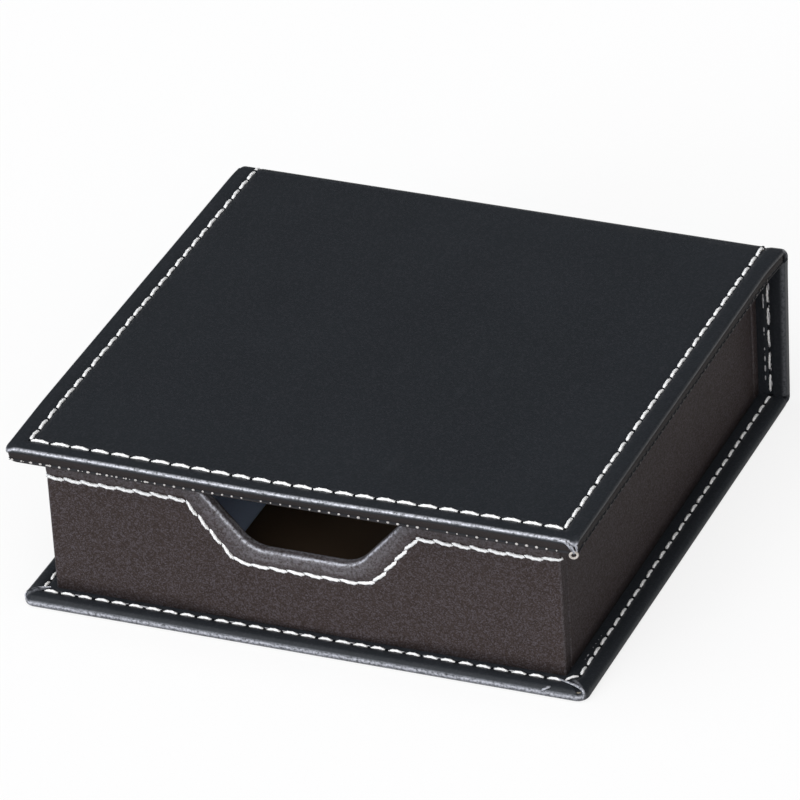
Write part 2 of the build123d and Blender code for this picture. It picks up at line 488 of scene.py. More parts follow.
class PanelOutline:
    """A panel seen from above: two sides and a front with rounded corners, open at the rear."""

    def __init__(self, front, radius):
        self.front, self.radius = front, radius
        self.turns = spread(0, CORNER_REACH, FINE)
        self.sides = spread(front + MARGIN_REACH + CORNER_REACH, CREASE, PLAIN)[1:]
        reach = HALF_WIDTH - MARGIN_REACH - CORNER_REACH
        self.across = spread(-reach, reach, PLAIN)[1:-1]

    def round_corner(self, distance, inset):
        """(in from one edge, along it) of a point that far from a corner, on the outline inset."""
        radius = max(self.radius - inset, 0.0)
        half_arc = math.pi / 4 * radius
        run = distance / CORNER_REACH * (CORNER_REACH - radius + half_arc)
        if run >= half_arc:
            return 0.0, radius + run - half_arc
        turn = math.pi / 4 - run / radius
        return radius * (1 - math.cos(turn)), radius * (1 - math.sin(turn))

    def ring(self, inset):
        """Points from the rear left, round the front, to the rear right."""
        left, front = inset - HALF_WIDTH, self.front + inset
        drawn = max(inset - MARGIN_REACH, 0.0)
        shorter = 1 - drawn / (CREASE - self.front - MARGIN_REACH - CORNER_REACH)
        narrower = 1 - drawn / (HALF_WIDTH - MARGIN_REACH - CORNER_REACH)
        half_ring = [(left, CREASE + (y - CREASE) * shorter) for y in reversed(self.sides)]
        for distance in reversed(self.turns):
            across, along = self.round_corner(distance, inset)
            half_ring.append((left + across, front + along))
        for distance in self.turns[1:]:
            across, along = self.round_corner(distance, inset)
            half_ring.append((left + along, front + across))
        mirrored = [(-x, y) for x, y in reversed(half_ring)]
        return half_ring + [(x * narrower, front) for x in self.across] + mirrored

    def columns(self):
        left = [turn + MARGIN_REACH - HALF_WIDTH for turn in self.turns]
        return left + self.across + [-x for x in reversed(left)]

    def lines(self):
        return [self.front + MARGIN_REACH + turn for turn in self.turns] + self.sides


def panel_leather(name, outline, rows, level, upward, relief):
    """Leather over a whole side of a panel, round its edges and back along the other side."""
    skin = Skin()
    handled_and_lit_reach, handled_and_lit_blend, least = 1.4 * MM, 0.9 * MM, 0.03

    def place_on(x, y, height, wear, dull=0.0):
        lift, extra = relief(x, y, height)
        # The edge colour keeps to the front edge, partly rubbing and partly a painted highlight of the key
        # light from the front; elsewhere only a trace of it stays
        handled_and_lit = least + (1 - least) * smooth((outline.front + handled_and_lit_reach - y) / handled_and_lit_blend)
        return skin.add((x, y, level + upward * (height + lift)), max(wear * handled_and_lit, extra), dull)

    flat = [[place_on(x, y, 0.0, 0.0) for x in outline.columns()] for y in outline.lines()]
    for lower, upper in zip(flat, flat[1:]):
        skin.join(lower, upper)
    ring = [line[0] for line in reversed(flat)] + flat[0][1:] + [line[-1] for line in flat[1:]]
    left, right = [], []
    for inset, height, wear, dull in rows[1:]:
        outer = [place_on(x, y, height, wear, dull) for x, y in outline.ring(inset)]
        for j in range(len(ring) - 1):
            skin.faces.append((ring[j], outer[j], outer[j + 1], ring[j + 1]))
        ring = outer
        left.insert(0, outer[0])
        right.append(outer[-1])
    skin.faces.append(tuple(left + flat[-1] + right))
    settle(skin)
    if upward > 0:
        bow_lid(skin.points)
    return thicken(skin.finish(name, lid_leather(), flip=upward < 0))


def corner_flap(x, y, front, gap):
    """(height, painted highlight) of the leather folded over along the diagonal of a front corner."""
    side, ahead = HALF_WIDTH - abs(x), y - front
    past, out = ahead - side, side + ahead
    near = smooth((8.2 * MM - out) / (1.5 * MM)) * smooth((out - 0.6 * MM) / (0.8 * MM))
    flap = sizes().flap * smooth(past / (0.3 * MM) + 0.5) * bell(max(past, 0.0), 2.6 * MM)
    ridge = bell(past - 0.15 * MM, 0.28 * MM)
    opening = gap * smooth(-past / (0.3 * MM)) * smooth((past + 1.7 * MM) / (0.4 * MM))
    opening *= smooth((out - 1.6 * MM) / (0.6 * MM)) * smooth((6.4 * MM - out) / (0.8 * MM))
    # The second value paints a highlight along the folded edge's ridge
    return (flap + 0.12 * MM * ridge) * near - opening, 0.3 * ridge * near


def corner_round(x, y, height):
    """How far a front corner of the lid rounds down at its top and up at its underside."""
    away = math.hypot(HALF_WIDTH - abs(x), y - LID_FRONT)
    top = 1 + height / LID_THICKNESS
    down = sizes().corner_droop * max(0.0, 1 - away / (3.0 * MM)) ** 3.6
    up = (0.2 if x > 0 else 0.9) * MM * max(0.0, 1 - away / (2.2 * MM)) ** 2
    return up * (1 - top) - down * top


def bowed(point):
    """How much of the lid's bow a place shares: all of it near the middle of the upper front edge."""
    level = smooth((point.z - LID_UNDERSIDE - 0.3 * MM) / (1.6 * MM))
    return bell(point.x + 1 * MM, 24 * MM) * level * (1 - smooth((point.y - LID_FRONT) / (30 * MM)))


def bow_lid(piece):
    """Moves the points of a piece, or of a run, with the lid's bowed front and its drawn-out left corner."""
    s = sizes()
    for i, point in enumerate(piece):
        away = math.hypot(point.x + HALF_WIDTH, point.y - LID_FRONT)
        tip = s.lid_tip * max(0.0, 1 - away / (2.4 * MM)) ** 1.5
        tip *= (point.z - LID_UNDERSIDE) / LID_THICKNESS * 1.6 - 0.6
        piece[i] = point + Vector((-tip, -0.8 * tip - s.lid_bow * bowed(point), 0))


def lid_relief(x, y, height):
    lift = corner_round(x, y, height)
    if height < -LID_THICKNESS / 2:
        flap, wear = corner_flap(x, y, LID_FRONT, 0.0)
        return lift - flap, wear * 0.4
    return lift + waver(x, y) * smooth((CREASE - y) / (8 * MM)), 0.0


def base_relief(x, y, height):
    if height < -BASE_TOP / 2:
        flap, wear = corner_flap(x, y, BASE_FRONT, sizes().flap_gap if x > 0 else 0.0)
        return -flap, wear
    return 0.0, 0.0


def settle(skin):
    """Lets the case stand a little out of true, as it does where only leather holds it."""
    s = sizes()
    fold_inset, fold_reach = 0.9 * MM, 2.9 * MM
    for point in skin.points:
        away = math.hypot(point.y - BACK + fold_inset, point.z - TOP + fold_inset)
        fold = bell(away, fold_reach)
        end = smooth((abs(point.x) - HALF_WIDTH + MARGIN_REACH) / MARGIN_REACH)
        raised = end * point.z / TOP
        point.z -= s.fold_press * fold * (point.x + HALF_WIDTH) / (2 * HALF_WIDTH)
        if point.x < 0:
            point.x -= s.lid_flare * raised * smooth((point.y - LID_FRONT) / (20 * MM))
            point.x += s.fold_pinch * fold * end
        else:
            point.x += s.spine_flare * raised * smooth((point.y - CREASE + 10 * MM) / (10 * MM))
            point.y += 0.4 * s.fold_press * fold * end


def across(edge_points):
    """(x, depth, painted highlight and rubbing) across a strip of the case, from under its left end to under
    its right one.
    """
    left = [(inset - HALF_WIDTH, -height, 0.3 * wear) for inset, height, wear, dull in reversed(edge_points)]
    middle = [(x, 0.0, 0.0) for x in spread(left[-1][0], -left[-1][0], PLAIN)[1:-1]]
    return left + middle + [(-x, depth, wear) for x, depth, wear in reversed(left)]


def fold_columns():
    """The same across a fold, where only the leather and its lining are left."""
    s = sizes()
    edge, half = s.fold_thickness, s.fold_thickness / 2
    outer = [r for r in edge_rows(2 * edge, edge, edge, s.lid_margin) if r[1] > -half]
    rim = edge - math.sqrt(edge**2 - (edge - half) ** 2)
    inner = [(inset, -edge - height, wear / 2, 0.0) for inset, height, wear, dull in reversed(outer)]
    plain = [(inset, -edge, 0.0, 0.0) for inset in spread(MARGIN_REACH, TURN_IN, PLAIN)[1:]]
    # The fold's rim takes the edge colour as a painted highlight
    return across(outer + [(rim, -half, 0.6, 0.0)] + inner + plain)


def strip(name, path, columns, material, capped=False, flip=False):
    """Leather along a path of (y, z, inward y, inward z), with the same columns at each step."""
    skin = Skin()
    rows = []
    for y, z, in_y, in_z in path:
        rows.append([skin.add((x, y + d * in_y, z + d * in_z), wear) for x, d, wear in columns])
    for first, second in zip(rows, rows[1:]):
        skin.join(first, second)
    if capped:
        skin.cap(rows[0], rows[-1])
    settle(skin)
    piece = skin.finish(name, material)
    if flip:
        piece.data.flip_normals()
    return thicken(piece)


def fold_path(radius, corner_z, outward_z, turns):
    """The outer line of a fold round a rear corner, from the spine's side at no turn to the panel's."""
    centre_y, centre_z = BACK - radius, corner_z - outward_z * radius
    path = []
    for turn in turns:
        out_y, out_z = math.cos(turn), outward_z * math.sin(turn)
        path.append((centre_y + radius * out_y, centre_z + radius * out_z, -out_y, -out_z))
    return path


def lid_fold_halves():
    """(name, line, bodies, ends) of the upper and the lower half of the lid's fold."""
    radius = sizes().lid_fold_radius
    upper, lower = [
        fold_path(radius, TOP, 1, [QUARTER * (1 - share) for share in spread(first, first + 0.5, 1 / 16)])
        for first in (0, 0.5)
    ]
    upper.insert(0, (CREASE, TOP, 0.0, -1.0))
    lower.append((BACK, LID_UNDERSIDE, -1.0, 0.0))
    middle = (0.0, upper[-1][0], upper[-1][1])
    return [
        ("upper", upper, ("fold", "lid"), (middle, (0.0, CREASE, TOP))),
        ("lower", lower, ("box", "fold"), ((0.0, BACK, LID_UNDERSIDE), middle)),
    ]


def base_fold_path():
    turns = spread(0, QUARTER, math.pi / 20)
    bend = fold_path(sizes().base_fold_radius, 0.0, -1, turns)
    return [(BACK, BASE_TOP, -1.0, 0.0), *bend, (CREASE, 0.0, 0.0, 1.0)]


class WallShape:
    """One wall of the tray, laid out along u, with v upwards and depth behind its outer face."""

    def __init__(self, name):
        low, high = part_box(name + "_cover")
        self.along, self.outward = WALLS[name]
        middle, size = (low + high) / 2, high - low
        self.foot, self.top = low.z, high.z
        self.length, self.thickness = abs(size.dot(self.along)), abs(size.dot(self.outward))
        self.origin = Vector((middle.x, middle.y, 0.0)) + self.outward * (self.thickness / 2)
        self.notched = name == "front_wall"

    def point(self, u, v, depth):
        return self.origin + self.along * u + Vector((0, 0, v)) - self.outward * depth

    def dipped(self, level, half_top, half_bottom, depth, top_radius, bottom_radius):
        """(u, v) along a line that dips through a trapezoid with rounded corners, always as many points."""
        slope = math.atan2(depth, half_top - half_bottom)
        end, floor = self.length / 2 - sizes().wall_end, level - depth
        tangent = top_radius * math.tan(slope / 2)
        half = [(u, level) for u in spread_in(-end, -half_top - tangent, 16)]
        for bend in spread_in(0, slope, 8)[1:]:
            across = top_radius * math.sin(bend) - half_top - tangent
            half.append((across, level - top_radius * (1 - math.cos(bend))))
        tangent = bottom_radius * math.tan(slope / 2)
        start = (-half_bottom - tangent * math.cos(slope), floor + tangent * math.sin(slope))
        last = half[-1]
        for share in spread_in(0, 1, 10)[1:]:
            half.append(tuple(a + (b - a) * share for a, b in zip(last, start)))
        for bend in spread_in(slope, 0, 10)[1:]:
            across = tangent - half_bottom - bottom_radius * math.sin(bend)
            half.append((across, floor + bottom_radius * (1 - math.cos(bend))))
        level_run = [(u, floor) for u in spread_in(half[-1][0], -half[-1][0], 12)]
        return half + level_run[1:-1] + [(-u, v) for u, v in reversed(half)]

    def offset_lip(self, inset):
        """(u, v) along the wall's top edge, that far inside it, from one end to the other."""
        s = sizes()
        half_top, half_bottom = s.notch_top / 2, s.notch_bottom / 2
        shift = inset * math.tan(math.atan2(s.notch_depth, half_top - half_bottom) / 2)
        radii = max(s.notch_top_radius - inset, 0.05 * MM), s.notch_bottom_radius + inset
        return self.dipped(self.top - inset, half_top + shift, half_bottom + shift, s.notch_depth, *radii)

    def seam(self):
        """(u, v) along the wall's seam."""
        s = sizes()
        radii = s.seam_top_radius, s.seam_bottom_radius
        return self.dipped(self.top - s.wall_margin, s.seam_top / 2, s.seam_bottom / 2, s.seam_depth, *radii)

    def lip(self, inset, towards_seam=False):
        """The offset of the top edge or, on the outer face, a line on its way from the rim to the seam."""
        s = sizes()
        if not self.notched:
            end = self.length / 2 - s.wall_end
            return [(u, self.top - inset) for u in spread(-end, end, PLAIN)]
        if not towards_seam or inset <= s.rim_radius:
            return self.offset_lip(inset)
        share = min(1.0, (inset - s.rim_radius) / (s.wall_margin - s.rim_radius))
        below = max(0.0, inset - s.wall_margin)
        rim, seam = self.offset_lip(s.rim_radius), [(u, v - below) for u, v in self.seam()]
        return [(a + (c - a) * share, b + (d - b) * share) for (a, b), (c, d) in zip(rim, seam)]

    def section(self):
        """(kind, inset or share, depth, painted highlight and sheen, dull) from the outer foot over the top
        to the inner foot.
        """
        s = sizes()
        rim, inner = s.rim_radius, self.thickness - 0.3 * MM
        rows = [("foot", share, 0.0, 0.0, 0.0) for share in spread_in(0, 1, 8)[:-1]]
        for inset in spread(s.wall_margin + FOOT_GAP, rim, FINE):
            swell, near = 0.0, 0.0
            if self.notched:
                swell = seam_dip(inset - s.wall_margin)
                # A painted sheen on the notch's lip, growing towards the rim
                near = 0.045 * smooth((s.wall_margin - 0.3 * MM - inset) / (0.8 * MM))
                near += 0.07 * smooth(1 - (inset - rim) / (2.4 * MM))
            if inset < s.wall_margin:
                swell += s.lip_puff * math.sin(math.pi * (inset - rim) / (s.wall_margin - rim)) ** 2
            rows.append(("outer", inset, -swell, near, 0.0))
        for turn, inset, drop in arc(rim, 0, QUARTER, math.pi / 16)[1:]:
            # A painted highlight along the crest of the rim
            rows.append(("lip", inset, drop, 0.115 + 0.885 * bell(turn - 0.85, 0.2), 0.0))
        for turn, inset, drop in arc(rim, QUARTER, 0, math.pi / 16):
            # The inner rounding: a faint painted highlight, and a duller, slightly darker colour as painted
            # shade under the lid
            rows.append(("lip", inset, self.thickness - drop, 0.32 * bell(turn - 1.4, 0.45), 0.3))
        rows += [("lip", inset, self.thickness, 0.0, 0.0) for inset in spread(rim, s.turn_down, PLAIN)[1:]]
        rows.append(("lip", s.turn_down + 0.05 * MM, inner, 0.0, 0.0))
        return rows + [("inner", share, inner, 0.0, 0.0) for share in spread_in(1, 0, 5)[1:]]

    def row_points(self, kind, value):
        """(u, v) of one row of the section."""
        if kind == "outer":
            return self.lip(value, towards_seam=True)
        if kind == "lip":
            return self.lip(value)
        s = sizes()
        foot = kind == "foot"
        limit = self.lip(s.wall_margin + FOOT_GAP, towards_seam=True) if foot else self.lip(s.turn_down)
        return [(u, self.foot + (v - self.foot) * value) for u, v in limit]

    def leather(self, name):
        skin = Skin()
        s = sizes()
        middle = self.thickness / 2
        lines = []
        for kind, value, depth, wear, dull in self.section():
            row = self.row_points(kind, value)

            def end_points(side):
                u, v = row[0] if side < 0 else row[-1]
                points = []
                for turn in spread_in(0, QUARTER, 4)[1:]:
                    back = s.wall_end * (1 - math.cos(turn))
                    pull = back * max(-1.0, min(1.0, (middle - depth) / middle))
                    drop = back * max(0.0, 1 - (self.top - v) / s.rim_radius)
                    spot = self.point(u + side * s.wall_end * math.sin(turn), v - drop, depth + pull)
                    # A faint painted highlight down the wall's upright ends
                    points.append(skin.add(spot, max(wear * math.cos(turn), 0.05 * math.sin(2 * turn)), dull))
                return points[::side]

            middle_points = [skin.add(self.point(u, v, depth), wear, dull) for u, v in row]
            lines.append(end_points(-1) + middle_points + end_points(1))
        for first, second in zip(lines, lines[1:]):
            skin.join(first, second)
        for column, order in ((0, 1), (-1, -1)):
            side = [line[column] for line in lines]
            for i in range(len(side) // 2):
                corners = tuple(dict.fromkeys((side[i], side[i + 1], side[-i - 2], side[-i - 1])))
                if len(corners) > 2:
                    skin.faces.append(corners[::order])
        return thicken(skin.finish(name, wall_leather()))


def soft_sheet(name, outline, at, thickness, material, soft=1 / 3):
    """A thin sheet with softened edges: outline in (u, v), counter-clockwise; at(u, v, w) places a point."""
    skin = Skin()
    edge = thickness * soft
    corners = []
    for point in map(Vector, outline):
        if not corners or (point - corners[-1]).length > 2 * edge:
            corners.append(point)
    inward = []
    for before_it, corner, after_it in zip(corners[-1:] + corners, corners, corners[1:] + corners[:1]):
        before, after = (corner - before_it).normalized(), (after_it - corner).normalized()
        side = Vector((-(before + after).y, (before + after).x)).normalized()
        inward.append(side / max(0.3, side.dot(Vector((-before.y, before.x)))))
    rings = [(edge, 0.0)] + [(inset, drop) for turn, inset, drop in arc(edge, 0, QUARTER, math.pi / 8)[1:]]
    rings += [(inset, thickness - drop) for turn, inset, drop in arc(edge, QUARTER, 0, math.pi / 8)]
    rows = [skin.row([at(*(c + i * inset), w) for c, i in zip(corners, inward)]) for inset, w in rings]
    for first, second in zip(rows, rows[1:]):
        skin.join(first, second, closed=True)
    skin.cap(rows[0], rows[-1])
    return skin.finish(name, material)


def strand(name, path, lie, width, height, material, closed=False, wear=0.0):
    """A rounded strip of thread or leather along a line of points, thinner towards open ends."""
    skin = Skin()
    total = len(path)
    rings = []
    for i, point in enumerate(map(Vector, path)):
        before = Vector(path[i - 1]) if i or closed else point
        after = Vector(path[(i + 1) % total]) if i < total - 1 or closed else point
        ahead = (after - before).normalized()
        side = ahead.cross(Vector(lie)).normalized()
        up = side.cross(ahead)
        thin = 1.0 if closed else 0.35 + 0.65 * math.sin(math.pi * (i + 0.5) / total) ** 0.6
        turns = spread_in(0, 2 * math.pi, 8)[:-1]
        ring = [point + (side * width * math.cos(a) + up * height * math.sin(a)) * thin for a in turns]
        rings.append(skin.row(ring, wear))
    for first, second in zip(rings, rings[1:] + rings[: 1 if closed else 0]):
        skin.join(second, first, closed=True)
    if not closed:
        skin.cap(rings[-1], rings[0])
    return skin.finish(name, material, sharp=70)


def smooth_line(corners, steps):
    """Points on a soft curve through the corners."""
    line = []
    for i in range(len(corners) - 1):
        near = [Vector(corners[min(max(j, 0), len(corners) - 1)]) for j in range(i - 1, i + 3)]
        for share in spread_in(0, 1, steps)[:-1]:
            weights = (
                -0.5 * share**3 + share**2 - 0.5 * share,
                1.5 * share**3 - 2.5 * share**2 + 1,
                -1.5 * share**3 + 2 * share**2 + 0.5 * share,
                0.5 * share**3 - 0.5 * share**2,
            )
            line.append(sum((corner * weight for corner, weight in zip(near, weights)), Vector((0, 0, 0))))
    return line + [Vector(corners[-1])]


def round_front(low, high, radius):
    """Corners of a box seen from above, counter-clockwise, with its front ones rounded."""
    turns = spread_in(0, QUARTER, 6)
    ins = [(radius * (1 - math.cos(turn)), radius * (1 - math.sin(turn))) for turn in turns]
    left = [(low.x + side, low.y + ahead) for side, ahead in ins]
    right = [(high.x - side, low.y + ahead) for side, ahead in ins[::-1]]
    return [(high.x, high.y), (low.x, high.y), *left, *right]


class Tree:
    """Short ways to add nodes to a tree. Most give back the new node's first output."""

    def __init__(self, tree):
        self.tree = tree

    def feed(self, node, inputs):
        """Links or sets named inputs of a node."""
        for name, value in inputs.items():
            if isinstance(value, bpy.types.NodeSocket):
                self.tree.links.new(value, node.inputs[name])
            else:
                node.inputs[name].default_value = value

    def add(self, kind, inputs=None, **settings):
        """A node with its settings made and its inputs fed."""
        made = self.tree.nodes.new(kind)
        for name, value in settings.items():
            setattr(made, name, value)
        self.feed(made, inputs or {})
        return made

    def first(self, kind, inputs=None, **settings):
        return self.add(kind, inputs, **settings).outputs[0]

    def maths(self, operation, first, second=0.0, third=0.0):
        return self.first("ShaderNodeMath", {0: first, 1: second, 2: third}, operation=operation)

    def product(self, first, second):
        return self.maths("MULTIPLY", first, second)

    def vector(self, operation, inputs):
        return self.first("ShaderNodeVectorMath", inputs, operation=operation)

    def joined(self, inputs):
        return self.first("ShaderNodeCombineXYZ", inputs)

    def place(self):
        return self.add("ShaderNodeTexCoord").outputs["Object"]

    def noise(self, place, scale, detail, **more):
        made = self.add("ShaderNodeTexNoise", {"Vector": place, "Scale": scale, "Detail": detail, **more})
        return made.outputs["Fac"]

    def ranged(self, value, low, high, **more):
        return self.first("ShaderNodeMapRange", {"Value": value, "From Min": low, "From Max": high, **more})

    def attribute(self, name):
        return self.add("ShaderNodeAttribute", attribute_name=name).outputs["Fac"]

    def mixed(self, share, first, second):
        """A colour between two others."""
        mix = self.add("ShaderNodeMix", data_type="RGBA")
        self.feed(mix, {0: share, 6: first, 7: second})
        return mix.outputs[2]

    def bump(self, height, distance):
        return self.first("ShaderNodeBump", {"Height": height, "Distance": distance, "Strength": 1.0})

    def random(self, kind, low, high, seed, **more):
        """A random vector or number for each point."""
        places = {"FLOAT_VECTOR": (0, 1, 0), "FLOAT": (2, 3, 1)}
        least, most, out = places[kind]
        inputs = {least: low, most: high, "Seed": seed, **more}
        return self.add("FunctionNodeRandomValue", inputs, data_type=kind).outputs[out]


def once(store):
    """Lets a function that makes a material or a tree under a name give back the one that is there."""

    def keep(make):
        def found_or_made(name, *given, **more):
            return getattr(bpy.data, store).get(name) or make(name, *given, **more)

        return found_or_made

    return keep


def new_tree(name, kind, inputs, outputs):
    """An empty tree with its named sockets, what it is given, and the node where its results go."""
    tree = bpy.data.node_groups.new(name, kind)
    words = {float: "Float", int: "Int", tuple: "Vector"}
    for label, default in inputs.items():
        word = words.get(type(default), default)
        socket = tree.interface.new_socket(label, in_out="INPUT", socket_type="NodeSocket" + word)
        if word is not default:
            socket.default_value = default
    for label, word in outputs.items():
        tree.interface.new_socket(label, in_out="OUTPUT", socket_type="NodeSocket" + word)
    return Tree(tree), tree.nodes.new("NodeGroupInput").outputs, tree.nodes.new("NodeGroupOutput")


@once("node_groups")
def grain_group(name):
    """Fine leather grain: its height, the shade of each pebble, and slow clouds."""
    outputs = {"Height": "Float", "Cells": "Float", "Clouds": "Float"}
    t, given, out = new_tree(name, "ShaderNodeTree", {"Pebbles": 2600.0, "Roughness": 0.6}, outputs)
    place, pebbles = t.place(), given["Pebbles"]
    rounded = t.add("ShaderNodeTexVoronoi", {"Vector": place, "Scale": pebbles}, feature="SMOOTH_F1")
    fine = t.noise(place, t.product(pebbles, 0.8), 3.0, Roughness=given["Roughness"])
    bumps = t.maths("SUBTRACT", 1.0, rounded.outputs["Distance"])
    cells = t.add("ShaderNodeTexVoronoi", {"Vector": place, "Scale": pebbles}, feature="F1").outputs["Color"]
    height = t.maths("ADD", t.product(bumps, 0.6), fine)
    shades = t.first("ShaderNodeSeparateXYZ", {0: cells})
    t.feed(out, {"Height": height, "Cells": shades, "Clouds": t.noise(place, 42.0, 4.0)})
    return t.tree


@once("node_groups")
def wear_group(name):
    """Painted highlight and rubbing along the leather's edges, broken up, and a few faint scuffs."""
    outputs = {"Mask": "Float", "Polish": "Float"}
    t, given, out = new_tree(name, "ShaderNodeTree", {"Edges": 0.8, "Scuffs": 0.3}, outputs)
    place, worn_and_lit = t.place(), t.attribute("wear")
    part = t.ranged(t.noise(place, 1900.0, 4.0), 0.3, 0.6)
    edges = t.product(t.product(worn_and_lit, part), given["Edges"])
    streaks = t.first("ShaderNodeMapping", {"Vector": place, "Scale": (260.0, 60.0, 160.0)})
    scuffs = t.product(t.ranged(t.noise(streaks, 1.0, 6.0), 0.66, 0.8), given["Scuffs"])
    polish = t.product(worn_and_lit, t.maths("MULTIPLY_ADD", part, 0.4, 0.6))
    t.feed(out, {"Mask": t.maths("MAXIMUM", edges, scuffs), "Polish": polish})
    return t.tree


@once("node_groups")
def weave_group(name):
    """A plain weave seen from its front: threads over and under."""
    outputs = {"Height": "Float", "Fuzz": "Float"}
    t, given, out = new_tree(name, "ShaderNodeTree", {"Threads": 2600.0}, outputs)
    place = t.place()
    threads = t.vector("SCALE", {0: place, "Scale": given["Threads"]})
    parts = t.add("ShaderNodeSeparateXYZ", {0: threads}).outputs
    warp = t.maths("SINE", parts["X"])
    weft = t.maths("SINE", t.maths("ADD", parts["Y"], parts["Z"]))
    height = t.maths("MAXIMUM", t.product(warp, weft), t.product(warp, -0.4))
    t.feed(out, {"Height": height, "Fuzz": t.noise(place, 4200.0, 2.0)})
    return t.tree


def blank_material(name):
    """A new material with only its shader and its output."""
    material = bpy.data.materials.new(name)
    material.use_nodes = True
    t = Tree(material.node_tree)
    t.tree.nodes.clear()
    shader = t.add("ShaderNodeBsdfPrincipled")
    t.add("ShaderNodeOutputMaterial", {"Surface": shader.outputs[0]})
    return material, t, shader


def scaled(shade, share):
    return (shade[0] * share, shade[1] * share, shade[2] * share, 1.0)


@once("materials")
def leather_material(name, shade, pebbles, depth, rough, specks, edges, scuffs, gloss):
    """Coated leather with fine grain, clouded colour, and edges rubbed and painted with a highlight."""
    material, t, shader = blank_material(name)
    c = colours()
    grain = t.add("ShaderNodeGroup", node_tree=grain_group("Leather grain"))
    wear = t.add("ShaderNodeGroup", node_tree=wear_group("Leather wear"))
    t.feed(grain, {"Pebbles": pebbles})
    t.feed(wear, {"Edges": edges, "Scuffs": scuffs})
    clouded = t.mixed(grain.outputs["Clouds"], scaled(shade, 0.85), scaled(shade, 1.15))
    cells = t.maths("MULTIPLY_ADD", grain.outputs["Cells"], specks, -0.5 * specks)
    dark = t.mixed(t.product(cells, -2.0), clouded, scaled(c.wall, 0.15))
    # Pale flecks on random pebbles: partly the grain's own tone, partly painted glints of light on the
    # pebbles
    light = t.mixed(t.product(cells, 2.0), dark, tuple(c.fleck))
    dull = t.attribute("dull")
    band = t.mixed(t.product(dull, 0.8), light, scaled(c.wall, 0.5))
    low = t.maths("MULTIPLY_ADD", grain.outputs["Height"], 0.12, rough - 0.08)
    looks = {
        # The edge mask mixes in the light edge colour: a painted highlight, partly rubbing
        "Base Color": t.mixed(wear.outputs["Mask"], band, tuple(c.bead)),
        "Roughness": t.maths("MULTIPLY_ADD", dull, 0.3, low),
        "Specular IOR Level": gloss,
        "Coat Weight": wear.outputs["Polish"],
        "Coat Roughness": 0.3,
        "Coat IOR": 1.7,
        "Normal": t.bump(grain.outputs["Height"], depth),
    }
    t.feed(shader, looks)
    return material


def lid_leather():
    grain = {"pebbles": 3000.0, "depth": 0.03 * MM, "specks": 0.06}
    # edges sets the strength of the painted edge highlight; scuffs sets the faint scuffs
    worn_and_lit = {"edges": 0.75, "scuffs": 0.008}
    return leather_material("Lid leather", tuple(colours().lid), rough=0.38, gloss=0.16, **grain, **worn_and_lit)


def wall_leather():
    grain = {"pebbles": 4400.0, "depth": 0.04 * MM, "specks": 0.34}
    # edges sets the strength of the painted edge highlight; scuffs sets the faint scuffs
    worn_and_lit = {"edges": 0.95, "scuffs": 0.01}
    return leather_material("Wall leather", tuple(colours().wall), rough=0.56, gloss=0.07, **grain, **worn_and_lit)


@once("materials")
def cloth_material(name):
    """Woven lining cloth with a faint fuzz."""
    material, t, shader = blank_material(name)
    weave = t.add("ShaderNodeGroup", node_tree=weave_group("Plain weave")).outputs
    shade = colours().lining
    # Raised threads are painted lighter and the hollows between them darker: painted shade of the weave
    lit = t.maths("MULTIPLY_ADD", weave["Height"], 0.35, 0.4)
    base = t.mixed(lit, scaled(shade, 0.7), scaled(shade, 1.7))
    fuzzy = t.mixed(t.product(weave["Fuzz"], 0.3), base, scaled(shade, 2.6))
    bump = t.bump(weave["Height"], 0.06 * MM)
    t.feed(shader, {"Base Color": fuzzy, "Roughness": 0.9, "Sheen Weight": 0.2, "Normal": bump})
    return material


@once("materials")
def fibre_material(
    name, shade, scale, detail, dark, light, rough, depth, clouds=0.0, flecks=0.0, sheen=0.0, gloss=0.5
):
    """A matte finish with the colour and bumps of its fibres, and clouds and flecks of their own scale."""
    material, t, shader = blank_material(name)
    place = t.place()
    fibres = t.noise(place, scale, detail)
    share = t.product(fibres, t.noise(place, clouds, 3.0)) if clouds else fibres
    base = t.mixed(share, scaled(shade, dark), scaled(shade, light))
    if flecks:
        spots = t.ranged(t.noise(place, flecks, 2.0), 0.62, 0.7)
        base = t.mixed(t.product(spots, 0.6), base, scaled(shade, 0.25))
    looks = {"Base Color": base, "Roughness": rough, "Sheen Weight": sheen, "Specular IOR Level": gloss}
    if depth:
        looks["Normal"] = t.bump(fibres, depth)
    t.feed(shader, looks)
    return material


def board_material():
    fibres = {"scale": 900.0, "detail": 6.0, "dark": 0.75, "light": 1.2, "depth": 0.08 * MM}
    return fibre_material("Grey board", tuple(colours().board), rough=0.95, flecks=2600.0, **fibres)


def thread_material():
    fibres = {"scale": 5200.0, "detail": 3.0, "dark": 0.8, "light": 1.0, "depth": 0.06 * MM}
    return fibre_material("Thread", tuple(colours().thread), rough=0.65, sheen=0.3, **fibres)


def paper_material(name, shade, rough):
    fibres = {"scale": 1400.0, "detail": 6.0, "dark": 0.88, "light": 1.0, "depth": 0.03 * MM}
    return fibre_material(name, shade, rough=rough, clouds=60.0, **fibres)


def speck_material(name, shade):
    """Thread ends and dried glue: a dull, uneven light speck."""
    spots = {"scale": 700.0, "detail": 3.0, "dark": 0.35, "light": 1.3, "depth": 0.05 * MM}
    return fibre_material(name, shade, rough=0.6, **spots)


def hole_shade_material():
    """Painted shade in a needle hole: a dark, frayed speck."""
    frayed = {"scale": 3000.0, "detail": 2.0, "dark": 0.08, "light": 0.5, "depth": 0.0}
    return fibre_material("Needle hole", tuple(colours().lid), rough=0.95, gloss=0.1, **frayed)


def new_growth(name, inputs):
    """An empty Geometry Nodes tree with its own inputs between a geometry and a material."""
    sockets = {"Geometry": "Geometry", **inputs, "Seed": 1, "Material": "Material"}
    return new_tree(name, "GeometryNodeTree", sockets, {"Geometry": "Geometry"})


